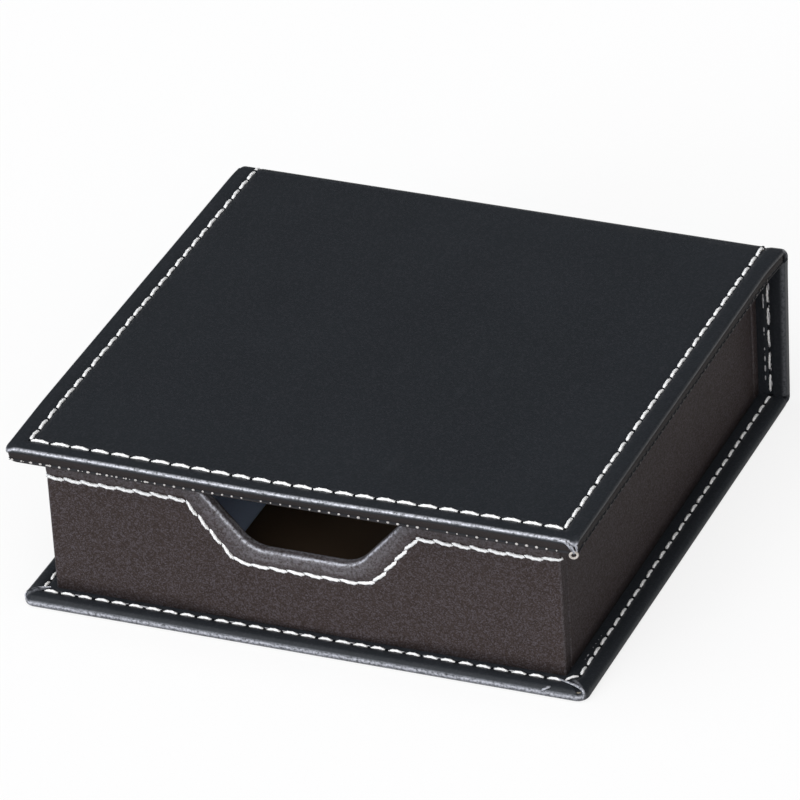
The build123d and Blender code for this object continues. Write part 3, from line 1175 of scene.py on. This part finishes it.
def full_grown(t, given, out, points, instance, more):
    """Ends a tree: one instance on each point, made real and given its material."""
    grown = t.first("GeometryNodeInstanceOnPoints", {"Points": points, "Instance": instance, **more})
    real = t.first("GeometryNodeRealizeInstances", {"Geometry": grown})
    done = t.first("GeometryNodeSetMaterial", {"Geometry": real, "Material": given["Material"]})
    t.feed(out, {"Geometry": done})
    return t.tree


def even_run(t, given):
    """The given run cut into even parts of one pitch."""
    run = t.first("GeometryNodeMeshToCurve", {"Mesh": given["Geometry"]})
    return t.first("GeometryNodeResampleCurve", {"Curve": run, "Length": given["Pitch"]}, mode="LENGTH")


def stored_vector(t, name):
    return t.first("GeometryNodeInputNamedAttribute", {"Name": name}, data_type="FLOAT_VECTOR")


def turned_to(t, primary, secondary, primary_axis, secondary_axis):
    """The rotation that lays two axes along two directions."""
    axes = {"Primary Axis": primary, "Secondary Axis": secondary}
    settings = {"primary_axis": primary_axis, "secondary_axis": secondary_axis}
    return t.first("FunctionNodeAxesToRotation", axes, **settings)


@once("node_groups")
def stitch_tree(name):
    """One twisted stitch on each even part of a run, lying on the leather and dipping in at both ends."""
    inputs = {"Pitch": 0.004, "Share": 0.9, "Radius": 0.0004, "Arch": 0.0004, "Sink": 0.0004, "Slant": 0.0}
    t, given, out = new_growth(name, inputs)
    line = t.first("GeometryNodeCurveToMesh", {"Curve": even_run(t, given)})
    ends = t.add("GeometryNodeInputMeshEdgeVertices").outputs
    span = t.vector("SUBTRACT", {0: ends["Position 2"], 1: ends["Position 1"]})
    values = {"Geometry": line, "Name": "span", "Value": span}
    stored = t.first("GeometryNodeStoreNamedAttribute", values, data_type="FLOAT_VECTOR", domain="EDGE")
    points = t.first("GeometryNodeMeshToPoints", {"Mesh": stored}, mode="EDGES")
    span = stored_vector(t, "span")
    size = t.add("ShaderNodeVectorMath", {0: span}, operation="LENGTH").outputs["Value"]
    facing = turned_to(t, span, stored_vector(t, "lie"), "X", "Z")
    stray = t.random("FLOAT_VECTOR", (-0.05, -0.03, -0.045), (0.05, 0.03, 0.045), given["Seed"])
    turn = t.vector("ADD", {0: stray, 1: t.joined({"Z": given["Slant"]})})
    spin = t.first("FunctionNodeEulerToRotation", {"Euler": turn})
    turned = {"Rotation": facing, "Rotate By": spin}
    facing = t.first("FunctionNodeRotateRotation", turned, rotation_space="LOCAL")
    fitted = t.product(t.maths("DIVIDE", size, given["Pitch"]), t.random("FLOAT", 0.96, 1.04, given["Seed"]))
    half = t.product(t.product(given["Pitch"], given["Share"]), 0.5)
    back, deep = t.product(half, -1.0), t.product(given["Sink"], -1.0)
    high = t.maths("DIVIDE", t.maths("MULTIPLY_ADD", given["Sink"], 0.25, given["Arch"]), 0.75)
    corners = {
        label: t.joined({"X": across, "Z": level})
        for label, across, level in (
            ("Start", back, deep),
            ("Start Handle", back, high),
            ("End Handle", half, high),
            ("End", half, deep),
        )
    }
    corners["Resolution"] = 10
    thread = t.first("GeometryNodeCurvePrimitiveBezierSegment", corners, mode="POSITION")
    even = t.first("GeometryNodeResampleCurve", {"Curve": thread, "Count": 11}, mode="COUNT")
    along = t.add("GeometryNodeSplineParameter").outputs["Factor"]
    twisted = t.first("GeometryNodeSetCurveTilt", {"Curve": even, "Tilt": t.product(along, 7.0)})
    radii = {"Inner Radius": t.product(given["Radius"], 0.8), "Outer Radius": given["Radius"]}
    plies = t.first("GeometryNodeCurveStar", {"Points": 3, **radii})
    parts = {"Curve": twisted, "Profile Curve": plies, "Fill Caps": True}
    stitch = t.first("GeometryNodeSetShadeSmooth", {"Geometry": t.first("GeometryNodeCurveToMesh", parts)})
    scale = t.joined({"X": fitted, "Y": 1.0, "Z": 1.0})
    return full_grown(t, given, out, points, stitch, {"Rotation": facing, "Scale": scale})


@once("node_groups")
def speck_tree(name):
    """Small flattened grains along a run, some left out, each turned and sized a little differently."""
    inputs = {"Pitch": 0.002, "Radius": 0.0002, "Stretch": 1.0, "Kept": 1.0, "Uneven": 0.3}
    t, given, out = new_growth(name, inputs)
    facing = turned_to(t, stored_vector(t, "lie"), t.first("GeometryNodeInputTangent"), "Z", "X")
    chance = {"Probability": given["Kept"], "Seed": given["Seed"]}
    kept = t.add("FunctionNodeRandomValue", chance, data_type="BOOLEAN").outputs[3]
    low, high = t.maths("SUBTRACT", 1.0, given["Uneven"]), t.maths("ADD", 1.0, given["Uneven"])
    size = t.random("FLOAT", low, high, given["Seed"])
    wide = t.product(given["Radius"], size)
    long = t.product(wide, t.product(given["Stretch"], size))
    scale = t.joined({"X": long, "Y": wide, "Z": t.product(wide, 0.6)})
    grain = t.first("GeometryNodeMeshIcoSphere", {"Radius": 1.0, "Subdivisions": 2})
    grain = t.first("GeometryNodeSetShadeSmooth", {"Geometry": grain})
    more = {"Selection": kept, "Rotation": facing, "Scale": scale}
    return full_grown(t, given, out, even_run(t, given), grain, more)


@once("node_groups")
def pad_tree(name):
    """A stack of thin sheets, each turned and shifted by a hair."""
    t, given, out = new_growth(name, {"Sheets": 90, "Sheet": (0.094, 0.094, 0.0001), "Shift": 0.0001})
    sheet, seed = given["Sheet"], given["Seed"]
    step = t.joined({"Z": t.add("ShaderNodeSeparateXYZ", {0: sheet}).outputs["Z"]})
    pile = t.first("GeometryNodeMeshLine", {"Count": given["Sheets"], "Offset": step})
    moved = t.random("FLOAT_VECTOR", (-1.0, -1.0, 0.0), (1.0, 1.0, 0.0), seed)
    apart = t.vector("SCALE", {0: moved, "Scale": given["Shift"]})
    shift = t.vector("ADD", {0: apart, 1: t.vector("MULTIPLY", {0: sheet, 1: (0.0, 0.0, 0.46)})})
    here = t.first("GeometryNodeInputPosition")
    points = t.first("GeometryNodeSetPosition", {"Geometry": pile, "Position": here, "Offset": shift})
    spin = t.random("FLOAT", -0.0012, 0.0012, seed, ID=t.first("GeometryNodeInputIndex"))
    cube = t.first("GeometryNodeMeshCube", {"Size": t.vector("MULTIPLY", {0: sheet, 1: (1.0, 1.0, 0.9)})})
    return full_grown(t, given, out, points, cube, {"Rotation": t.joined({"Z": spin})})


def grown(name, runs, tree, values, offset=None):
    """A plain mesh that a tree grows along runs of (point, direction away from the leather)."""
    path = bpy.data.meshes.new(name + "_path")
    points, lies, edges = [], [], []
    for run in runs:
        start = len(points)
        points += [point for point, lie in run]
        lies += [lie for point, lie in run]
        edges += [(start + i, start + i + 1) for i in range(len(run) - 1)]
    path.from_pydata(points, edges, [])
    lie_data = path.attributes.new("lie", "FLOAT_VECTOR", "POINT")
    lie_data.data.foreach_set("vector", [value for lie in lies for value in lie])
    carrier = show(name + "_carrier", path)
    modifier = carrier.modifiers.new("Grown", "NODES")
    modifier.node_group = tree
    for item in tree.interface.items_tree:
        if item.item_type == "SOCKET" and item.in_out == "INPUT" and item.name in values:
            modifier[item.identifier] = values[item.name]
    depsgraph = bpy.context.evaluated_depsgraph_get()
    mesh = bpy.data.meshes.new_from_object(carrier.evaluated_get(depsgraph))
    mesh.name = name
    carrier.modifiers.remove(modifier)
    bpy.data.objects.remove(carrier)
    bpy.data.meshes.remove(path)
    if offset is not None:
        mesh.transform(Matrix.Translation(offset))
    if not mesh.vertices:
        raise RuntimeError(f"{name}: the tree made nothing")
    return show(name, mesh)


def stitched(body, name, runs, pitch, share, seed, radius=1.0, slant=0.0, lift=0.55, hole=1.0):
    """The threads of a seam, with their radius in parts of the usual one, and dark specks of painted shade
    for the holes between them.
    """
    s = sizes()
    thick = s.thread * radius
    values = {"Pitch": pitch, "Share": share, "Radius": thick, "Arch": thick * lift, "Sink": thick * 1.2}
    values |= {"Slant": slant, "Seed": seed, "Material": thread_material()}
    threads = grown(name, runs, stitch_tree("Stitched run"), values)
    if body:
        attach(threads, body)
    size = s.needle_hole * hole * thick / s.thread
    # The hole specks are dark grains of painted shade where the needle holes are
    return threads, specks(body, name + "_holes", runs, pitch, size, 1.0, 1.0, 0.1, seed, hole_shade_material())


def specks(body, name, runs, pitch, radius, stretch, kept, uneven, seed, material):
    """A row of small grains along runs, riding on a body if one is named."""
    values = {"Pitch": pitch, "Radius": radius, "Stretch": stretch, "Kept": kept, "Uneven": uneven}
    piece = grown(name, runs, speck_tree("Row of specks"), {**values, "Seed": seed, "Material": material})
    if body:
        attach(piece, body)
    return piece


def straight(start, end, lie):
    """A run between two points on flat leather."""
    return [(Vector(start), Vector(lie)), (Vector(end), Vector(lie))]


def panel_runs(front, margin, level, lie, on_lid=False, cut=0.0):
    """Left, front and right runs of the seam of a panel, its right corner cut by so much."""
    side, corner = HALF_WIDTH - margin, front + margin
    turned = [(side - cut, corner)] if cut else []
    lines = [
        [(-side, y) for y in spread(CREASE, corner, PLAIN)],
        [(x, corner) for x in spread(-side, side - cut, PLAIN)],
        turned + [(side, y) for y in spread(corner + cut, CREASE, PLAIN)],
    ]
    runs = []
    for line in lines:
        points = [Vector((x, y, level)) for x, y in line]
        if on_lid:
            bow_lid(points)
        runs.append([(point, Vector(lie)) for point in points])
    return runs


def lined(node, body, corners, at, thickness, flip=False):
    """A sheet of lining cloth in the place of its node."""
    piece = soft_sheet(node + "_cloth", corners, at, thickness, cloth_material("Lining cloth"))
    if flip:
        piece.data.flip_normals()
    place(piece, body, node, "lining")


class NOTEBOX_OT_lid_leather(bpy.types.Operator):
    """Wraps the lid in smooth leather, turned in underneath"""

    bl_idname = "note_box.lid_leather"
    bl_label = "Lid Leather"

    def execute(self, context):
        outline = PanelOutline(LID_FRONT, sizes().lid_corner)
        piece = panel_leather("lid_leather", outline, lid_rows(), TOP, 1, lid_relief)
        place(piece, "lid", "lid_cover", "cover_leather")
        half, inner = HALF_WIDTH - TURN_IN, CREASE - TURN_IN
        under = [(x, 0.0, 0.0) for x in [-half] + spread(RIM - half, half - RIM, PLAIN) + [half]]
        lines = [CREASE] + spread(CREASE - RIM, inner + RIM, FINE) + [inner]
        path = [(y, LID_UNDERSIDE, 0.0, 1.0) for y in lines]
        place(strip("lid_rear_turn_in", path, under, lid_leather()), "lid", "lid_cover", "cover_leather")
        return {"FINISHED"}


class NOTEBOX_OT_case_leather(bpy.types.Operator):
    """Wraps the base and the spine, and the fold between them"""

    bl_idname = "note_box.case_leather"
    bl_label = "Base and Spine Leather"

    def execute(self, context):
        s, material = sizes(), lid_leather()
        outline = PanelOutline(BASE_FRONT, s.base_corner)
        base = panel_leather("base_leather", outline, base_rows(), 0.0, -1, base_relief)
        place(base, "box", "base_cover", "cover_leather")
        upright = [(BACK, z, -1.0, 0.0) for z in spread(LID_UNDERSIDE, BASE_TOP, PLAIN)]
        columns = across(edge_rows(SPINE_THICKNESS, s.spine_edge, s.spine_edge, s.spine_margin))
        spine = strip("spine_leather", upright, columns, material, capped=True)
        place(spine, "box", "spine_cover", "cover_leather")
        fold = strip("base_fold_leather", base_fold_path(), fold_columns(), material)
        place(fold, "box", "base_fold", "cover_leather")
        return {"FINISHED"}


class NOTEBOX_OT_folds(bpy.types.Operator):
    """Makes the leather and the lining of the lid's fold, in two halves each"""

    bl_idname = "note_box.folds"
    bl_label = "Lid Folds"

    def execute(self, context):
        half = HALF_WIDTH - TURN_IN
        under = [(x, sizes().fold_thickness, 0.0) for x in spread(-half, half, PLAIN)]
        for name, path, bodies, (start, end) in lid_fold_halves():
            outer = strip("fold_leather_" + name, path, fold_columns(), lid_leather())
            inner = strip("fold_lining_" + name, path, under, cloth_material("Lining cloth"), flip=True)
            pieces = ((outer, "lid_fold", "cover_leather"), (inner, "lid_fold_lining", "lining"))
            for piece, node, slot in pieces:
                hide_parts(node)
                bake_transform(piece)
        return {"FINISHED"}


class NOTEBOX_OT_walls(bpy.types.Operator):
    """Wraps the four walls of the tray, with the finger notch in the front one"""

    bl_idname = "note_box.walls"
    bl_label = "Tray Walls"

    def execute(self, context):
        for name in WALLS:
            place(WallShape(name).leather(name + "_leather"), "box", name + "_cover", "cover_leather")
        return {"FINISHED"}


class NOTEBOX_OT_linings(bpy.types.Operator):
    """Lines the lid, the base, the spine, the walls and the tray's floor"""

    bl_idname = "note_box.linings"
    bl_label = "Linings"

    def execute(self, context):
        low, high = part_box("lid_lining")
        corners = round_front(low, high, LINING_CORNER)[::-1]
        lined("lid_lining", "lid", corners, lambda u, v, w: (u, v, high.z - w), high.z - low.z)
        for node, radius in (("base_lining", sizes().base_corner), ("floor_lining", 0.0)):
            low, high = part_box(node)
            corners = round_front(low, high, radius)
            lined(node, "box", corners, lambda u, v, w: (u, v, low.z + w), high.z - low.z)
        low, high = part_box("spine_lining")
        corners = [(low.x, low.z), (high.x, low.z), (high.x, high.z), (low.x, high.z)]
        lined("spine_lining", "box", corners, lambda u, v, w: (u, high.y - w, v), high.y - low.y)
        for name in WALLS:
            wall = WallShape(name)
            top = wall.lip(sizes().turn_down - LINING_TUCK)
            corners = [*reversed(top), (top[0][0], wall.foot), (top[-1][0], wall.foot)]
            node, outer = name + "_lining", wall.thickness - LINING
            lined(node, "box", corners, lambda u, v, w: wall.point(u, v, outer + w), LINING, flip=True)
        return {"FINISHED"}


class NOTEBOX_OT_boards(bpy.types.Operator):
    """Gives the boards under the leather their pulp and flecks"""

    bl_idname = "note_box.boards"
    bl_label = "Boards"

    def execute(self, context):
        for name in ("lid", "base", "spine", *WALLS):
            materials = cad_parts[name + "_board"].data.materials
            materials.clear()
            materials.append(board_material())
        return {"FINISHED"}


class NOTEBOX_OT_paper(bpy.types.Operator):
    """Fills the tray with its pad of notes and the card on it"""

    bl_idname = "note_box.paper"
    bl_label = "Notes and Card"

    def execute(self, context):
        s, c = sizes(), colours()
        size, middle, play = pad_high - pad_low, (pad_low + pad_high) / 2, 4 * s.sheet_shift
        values = {
            "Sheets": s.sheets,
            "Sheet": (size.x - play, size.y - play, size.z / s.sheets),
            "Shift": s.sheet_shift,
            "Seed": 5,
            "Material": paper_material("Note paper", tuple(c.paper), 0.85),
        }
        spot = [straight((0, 0, 0), (0, 0, MM), (0, 0, 1))]
        foot = Vector((middle.x, middle.y, pad_low.z))
        notes = grown("notes", spot, pad_tree("Stack of sheets"), values, offset=foot)
        place(notes, "box", "note_pad", "note_paper")
        radius, centre, size = s.card_corner, (card_low + card_high) / 2, card_high - card_low
        corners = []
        for quarter, (side_x, side_y) in enumerate(((1, 1), (-1, 1), (-1, -1), (1, -1))):
            for turn in spread(quarter * QUARTER, (quarter + 1) * QUARTER, math.pi / 16):
                x = centre.x + side_x * (size.x / 2 - radius) + radius * math.cos(turn)
                y = centre.y + side_y * (size.y / 2 - radius) + radius * math.sin(turn)
                corners.append((x, y))
        stock = paper_material("Card stock", tuple(c.card), 0.7)
        card = soft_sheet("card", corners, lambda u, v, w: (u, v, card_low.z + w), size.z, stock, soft=1 / 4)
        place(card, "box", "insert_card", "card_stock")
        return {"FINISHED"}


class NOTEBOX_OT_seams(bpy.types.Operator):
    """Sews the lid, the folds, the spine, the base and the front wall"""

    bl_idname = "note_box.seams"
    bl_label = "Seams"

    def execute(self, context):
        s = sizes()
        sunk = s.seam_dip * 0.7
        up, down = (0, 0, 1), (0, 0, -1)
        lid_runs = panel_runs(LID_FRONT, s.lid_margin, TOP - sunk, up, on_lid=True)
        lid_runs += panel_runs(LID_FRONT, s.lid_margin, LID_UNDERSIDE + sunk, down, on_lid=True)
        stitched("lid", "lid_seam", lid_runs, s.lid_pitch, share=0.9, seed=2, radius=0.9)
        base_runs = panel_runs(BASE_FRONT, s.base_margin, BASE_TOP - sunk, up, cut=2.4 * MM)
        stitched("box", "base_seam", base_runs, s.base_pitch, share=0.76, seed=3, radius=0.8)
        under_runs = panel_runs(BASE_FRONT, s.base_margin, s.seam_dip, down)
        flat = {"radius": 0.72, "lift": -0.5}
        stitched("box", "base_under_seam", under_runs, s.base_pitch, share=0.8, seed=4, **flat)
        side = HALF_WIDTH - s.spine_margin
        spine_runs = [
            straight((x, y, LID_UNDERSIDE), (x, y, BASE_TOP), lie)
            for x in (-side, side)
            for y, lie in ((BACK - sunk, (0, 1, 0)), (CREASE + sunk, (0, -1, 0)))
        ]
        stitched("box", "spine_seam", spine_runs, s.spine_pitch, share=0.78, seed=6, radius=0.62)
        side = HALF_WIDTH - s.lid_margin
        for name, path, bodies, (start, end) in lid_fold_halves():
            lies = [Vector((0, -in_y, -in_z)) for y, z, in_y, in_z in path]
            runs = []
            for x in (-side, side):
                line = Skin()
                for y, z, in_y, in_z in path:
                    line.add((x, y + sunk * in_y, z + sunk * in_z))
                settle(line)
                runs.append(list(zip(line.points, lies)))
            if name == "upper":
                runs.pop()
            label = "fold_seam_" + name
            for seam in stitched(None, label, runs, s.fold_pitch, share=0.9, seed=7, radius=0.9):
                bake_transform(seam)
        wall = WallShape("front_wall")
        line, past, rise = wall.seam(), s.wall_end * 0.9, 5 * MM
        run = []
        for u, v in [(line[0][0] - past, line[0][1]), *line[1:-1], (line[-1][0] + past, line[-1][1])]:
            raised = 0.9 * MM * smooth((u - wall.length / 2 + rise) / rise)
            run.append((wall.point(u, v + raised, sunk), wall.outward))
        look = {"slant": math.radians(-8), "hole": 0.45}
        stitched("box", "front_wall_seam", [run], s.wall_pitch, share=1.02, seed=8, **look)
        return {"FINISHED"}


class NOTEBOX_OT_marks(bpy.types.Operator):
    """Adds the pricks along the lid's edge, the corners' raised strips with their painted highlight, a loose
    thread and dried glue
    """

    bl_idname = "note_box.marks"
    bl_label = "Pricks, Tucks and Glue"

    def execute(self, context):
        s, c = sizes(), colours()
        level, start, lid_side = LID_UNDERSIDE + s.prick_height, 4.0 * MM, HALF_WIDTH - 0.12 * MM
        line = spread(1.3 * MM - HALF_WIDTH, HALF_WIDTH - start, PLAIN)
        line = [Vector((x, LID_FRONT + 0.1 * MM, level)) for x in line]
        bow_lid(line)
        front = [(point, Vector((0, -1, 0))) for point in line]
        frayed = [place for place in front if place[0].x < -27 * MM]
        sides = []
        for sign in (-1, 1):
            x = sign * lid_side
            sides.append(straight((x, LID_FRONT + start, level), (x, CREASE - start, level), (sign, 0, 0)))
        foot, side_foot = (
            straight(wall.point(left, BASE_TOP, -1.3 * MM), wall.point(right, BASE_TOP, -1.3 * MM), (0, 0, 1))
            for wall, left, right in self.feet()
        )
        smeared = [
            straight((x, CREASE, 27 * MM), (x, CREASE, 5 * MM), (0, -1, 0)) for x in (53.4 * MM, 54.6 * MM)
        ]
        edge, rear = HALF_WIDTH + 0.05 * MM, BACK - 1.3 * MM
        edge_run = straight((edge, rear, 31 * MM), (edge - 0.05 * MM, rear, 3 * MM), (1, 0, 0))

        # pale: the front pricks' thread painted with the key light's highlight; dark: the same thread painted
        # in shade on the lid's sides. The frays share the pale, highlighted colour
        pale = speck_material("Pricked thread", tuple(c.prick))
        dark = speck_material("Dark pricked thread", scaled(c.prick, 0.12))
        glue = speck_material("Dried glue", tuple(c.glue))
        dim = speck_material("Frayed edge", scaled(c.glue, 0.3))
        pitch, radius = s.prick_pitch, s.prick_radius
        # Body, name, runs, pitch, radius, stretch, share kept, unevenness, seed and material
        rows = (
            ("lid", "lid_front_pricks", [front], pitch, radius, 1.1, 0.97, 0.2, 11, pale),
            ("lid", "lid_front_frays", [frayed], pitch * 0.6, radius * 0.65, 1.5, 0.45, 0.4, 21, pale),
            ("lid", "lid_side_pricks", sides, pitch, radius, 1.1, 1.0, 0.18, 11, dark),
            ("box", "foot_glue", [foot], 1.7 * MM, 0.13 * MM, 5.0, 0.5, 0.5, 12, glue),
            ("box", "side_glue", [side_foot], 1.3 * MM, 0.12 * MM, 2.5, 0.5, 0.5, 13, glue),
            ("box", "spine_glue", smeared, 1.1 * MM, 0.14 * MM, 3.0, 0.55, 0.6, 14, glue),
            ("box", "spine_frays", [edge_run], 0.8 * MM, 0.14 * MM, 1.6, 0.6, 0.5, 15, dim),
        )
        for row in rows:
            specks(*row)

        corner = Vector((HALF_WIDTH - 0.7 * MM, LID_FRONT + 0.25 * MM, LID_UNDERSIDE))
        ring = [
            corner + Vector((0.9 * math.sin(turn), 0.4 * math.sin(turn), 0.9 * math.cos(turn))) * 0.72 * MM
            for turn in spread_in(0, 2 * math.pi, 14)[:-1]
        ]
        worn_thread = speck_material("Loose thread", tuple(c.loose))
        loop = strand("lid_thread_loop", ring, (0.4, -0.9, 0), 0.24 * MM, 0.22 * MM, worn_thread, closed=True)
        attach(loop, "lid")
        for name, (body, sign, width, corners) in CORNER_STRIPS.items():
            front, top, lie, height = CORNER_PLACES[body]
            path = [(sign * (HALF_WIDTH - a * MM), front + b * MM, top + h * MM) for a, b, h in corners]
            # Each strip takes the full edge colour: a painted highlight along the fold or bead it stands on
            piece = strand(name, smooth_line(path, 5), lie, width * MM, height, lid_leather(), wear=1.0)
            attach(piece, body)
        return {"FINISHED"}

    def feet(self):
        """Two walls, and where the glue at the foot of each starts and ends."""
        front, side = WallShape("front_wall"), WallShape("right_wall")
        rear = side.length / 2
        return (front, -front.length / 2, front.length / 2), (side, 2 * MM - rear, 16 * MM - rear)


def camera_turn(azimuth, elevation, roll):
    """The camera's turning for a place round the object and above it."""
    turned = Matrix.Rotation(azimuth, 4, "Z") @ Matrix.Rotation(QUARTER - elevation, 4, "X")
    return turned @ Matrix.Rotation(roll, 4, "Z")


@once("materials")
def floor_material(name):
    """Pale paper that keeps a soft shadow, and looks whiter to the camera than it lights the object."""
    material, t, shader = blank_material(name)
    shade = tuple(colours().floor)
    pale = t.mixed(t.noise(t.place(), 2.0, 2.0), scaled(shade, 0.99), shade)
    path = t.add("ShaderNodeLightPath").outputs
    seen = t.maths("MAXIMUM", path["Is Camera Ray"], path["Is Glossy Ray"])
    base = t.mixed(seen, scaled(shade, 0.5), pale)
    t.feed(shader, {"Base Color": base, "Roughness": 0.9, "Specular IOR Level": 0.0})
    white = t.first("ShaderNodeEmission", {"Color": WHITE, "Strength": 1.0})
    share = t.product(path["Is Camera Ray"], 0.8)
    both = t.first("ShaderNodeMixShader", {0: share, 1: shader.outputs[0], 2: white})
    output = next(node for node in t.tree.nodes if node.bl_idname == "ShaderNodeOutputMaterial")
    t.feed(output, {"Surface": both})
    return material


def add_sun(name, strength, azimuth, elevation, width, tint):
    """A soft light from far off, its place and its width in degrees."""
    lamp = bpy.data.lights.new(name, "SUN")
    lamp.energy = strength
    lamp.angle = math.radians(width)
    lamp.color = tint
    show(name, lamp).matrix_world = camera_turn(math.radians(azimuth), math.radians(elevation), 0.0)


def set_world(strength):
    """A dome that is bright in front and dim behind, and white where the camera sees it."""
    world = bpy.data.worlds.new("Studio")
    bpy.context.scene.world = world
    world.use_nodes = True
    t = Tree(world.node_tree)
    t.tree.nodes.clear()
    path = t.add("ShaderNodeLightPath").outputs
    seen = t.maths("MAXIMUM", path["Is Camera Ray"], path["Is Transmission Ray"])
    place = t.add("ShaderNodeTexCoord").outputs["Generated"]
    depth = t.add("ShaderNodeSeparateXYZ", {0: place}).outputs["Y"]
    dome = t.ranged(depth, -0.6, 0.6, **{"To Min": 1.0, "To Max": 0.2})
    power = t.product(dome, strength)
    lit = t.first("ShaderNodeBackground", {"Color": (0.92, 0.96, 1.0, 1.0), "Strength": power})
    white = t.first("ShaderNodeBackground", {"Color": WHITE, "Strength": 1.0})
    t.add("ShaderNodeOutputWorld", {"Surface": t.first("ShaderNodeMixShader", {0: seen, 1: lit, 2: white})})


class NOTEBOX_OT_stage(bpy.types.Operator):
    """Sets up the pale floor, the soft light and the camera"""

    bl_idname = "note_box.stage"
    bl_label = "Stage"

    def execute(self, context):
        view, scene = context.scene.note_box_view, context.scene
        mesh = bpy.data.meshes.new("floor")
        corners = [(x * FLOOR_REACH, y * FLOOR_REACH, 0) for x, y in ((-1, -1), (1, -1), (1, 1), (-1, 1))]
        mesh.from_pydata(corners, [], [(0, 1, 2, 3)])
        mesh.materials.append(floor_material("Floor"))
        show("floor", mesh)
        add_sun("key", view.key, azimuth=-22, elevation=10, width=30, tint=(0.9, 0.94, 1.0))
        add_sun("fill", view.fill, azimuth=-35, elevation=66, width=70, tint=(1.0, 0.99, 0.98))
        add_sun("near", view.near, azimuth=24, elevation=28, width=60, tint=(1.0, 0.94, 0.89))
        set_world(view.sky)
        camera = show("camera", bpy.data.cameras.new("camera"))
        camera.data.sensor_width = 36.0
        camera.data.lens = view.lens
        camera.data.clip_start, camera.data.clip_end = 0.05, 50.0
        turn = camera_turn(view.azimuth, view.elevation, view.roll)
        camera.matrix_world = Matrix.Translation(view.aim) @ turn @ Matrix.Translation((0, 0, view.distance))
        scene.camera = camera
        scene.view_settings.view_transform = "Standard"
        return {"FINISHED"}


class NOTEBOX_PT_panel(bpy.types.Panel):
    """Lists the steps that dress the box, and their sizes and colours"""

    bl_idname = "NOTEBOX_PT_panel"
    bl_label = "Note Box"
    bl_space_type = "VIEW_3D"
    bl_region_type = "UI"
    bl_category = "Note Box"

    def draw(self, context):
        for operator in OPERATORS:
            self.layout.operator(operator.bl_idname)
        for group_name in GROUPS:
            group = getattr(context.scene, group_name)
            box = self.layout.box()
            for name in group.bl_rna.properties.keys():
                if name not in ("rna_type", "name"):
                    box.prop(group, name)


OPERATORS = [
    NOTEBOX_OT_stage,
    NOTEBOX_OT_lid_leather,
    NOTEBOX_OT_case_leather,
    NOTEBOX_OT_folds,
    NOTEBOX_OT_walls,
    NOTEBOX_OT_linings,
    NOTEBOX_OT_boards,
    NOTEBOX_OT_paper,
    NOTEBOX_OT_seams,
    NOTEBOX_OT_marks,
]
GROUPS = {
    "note_box_sizes": NoteBoxSizes,
    "note_box_colours": NoteBoxColours,
    "note_box_view": NoteBoxView,
}


def register():
    for group in GROUPS.values():
        bpy.utils.register_class(group)
    for name, group in GROUPS.items():
        setattr(bpy.types.Scene, name, bpy.props.PointerProperty(type=group))
    for operator in OPERATORS:
        bpy.utils.register_class(operator)
    bpy.utils.register_class(NOTEBOX_PT_panel)


def unregister():
    bpy.utils.unregister_class(NOTEBOX_PT_panel)
    for operator in reversed(OPERATORS):
        bpy.utils.unregister_class(operator)
    for name, group in GROUPS.items():
        delattr(bpy.types.Scene, name)
        bpy.utils.unregister_class(group)


def main():
    register()
    bpy.ops.note_box.stage()
    bpy.ops.note_box.lid_leather()
    bpy.ops.note_box.case_leather()
    bpy.ops.note_box.folds()
    bpy.ops.note_box.walls()
    bpy.ops.note_box.linings()
    bpy.ops.note_box.boards()
    bpy.ops.note_box.paper()
    bpy.ops.note_box.seams()
    bpy.ops.note_box.marks()


if __name__ == "__main__":
    main()
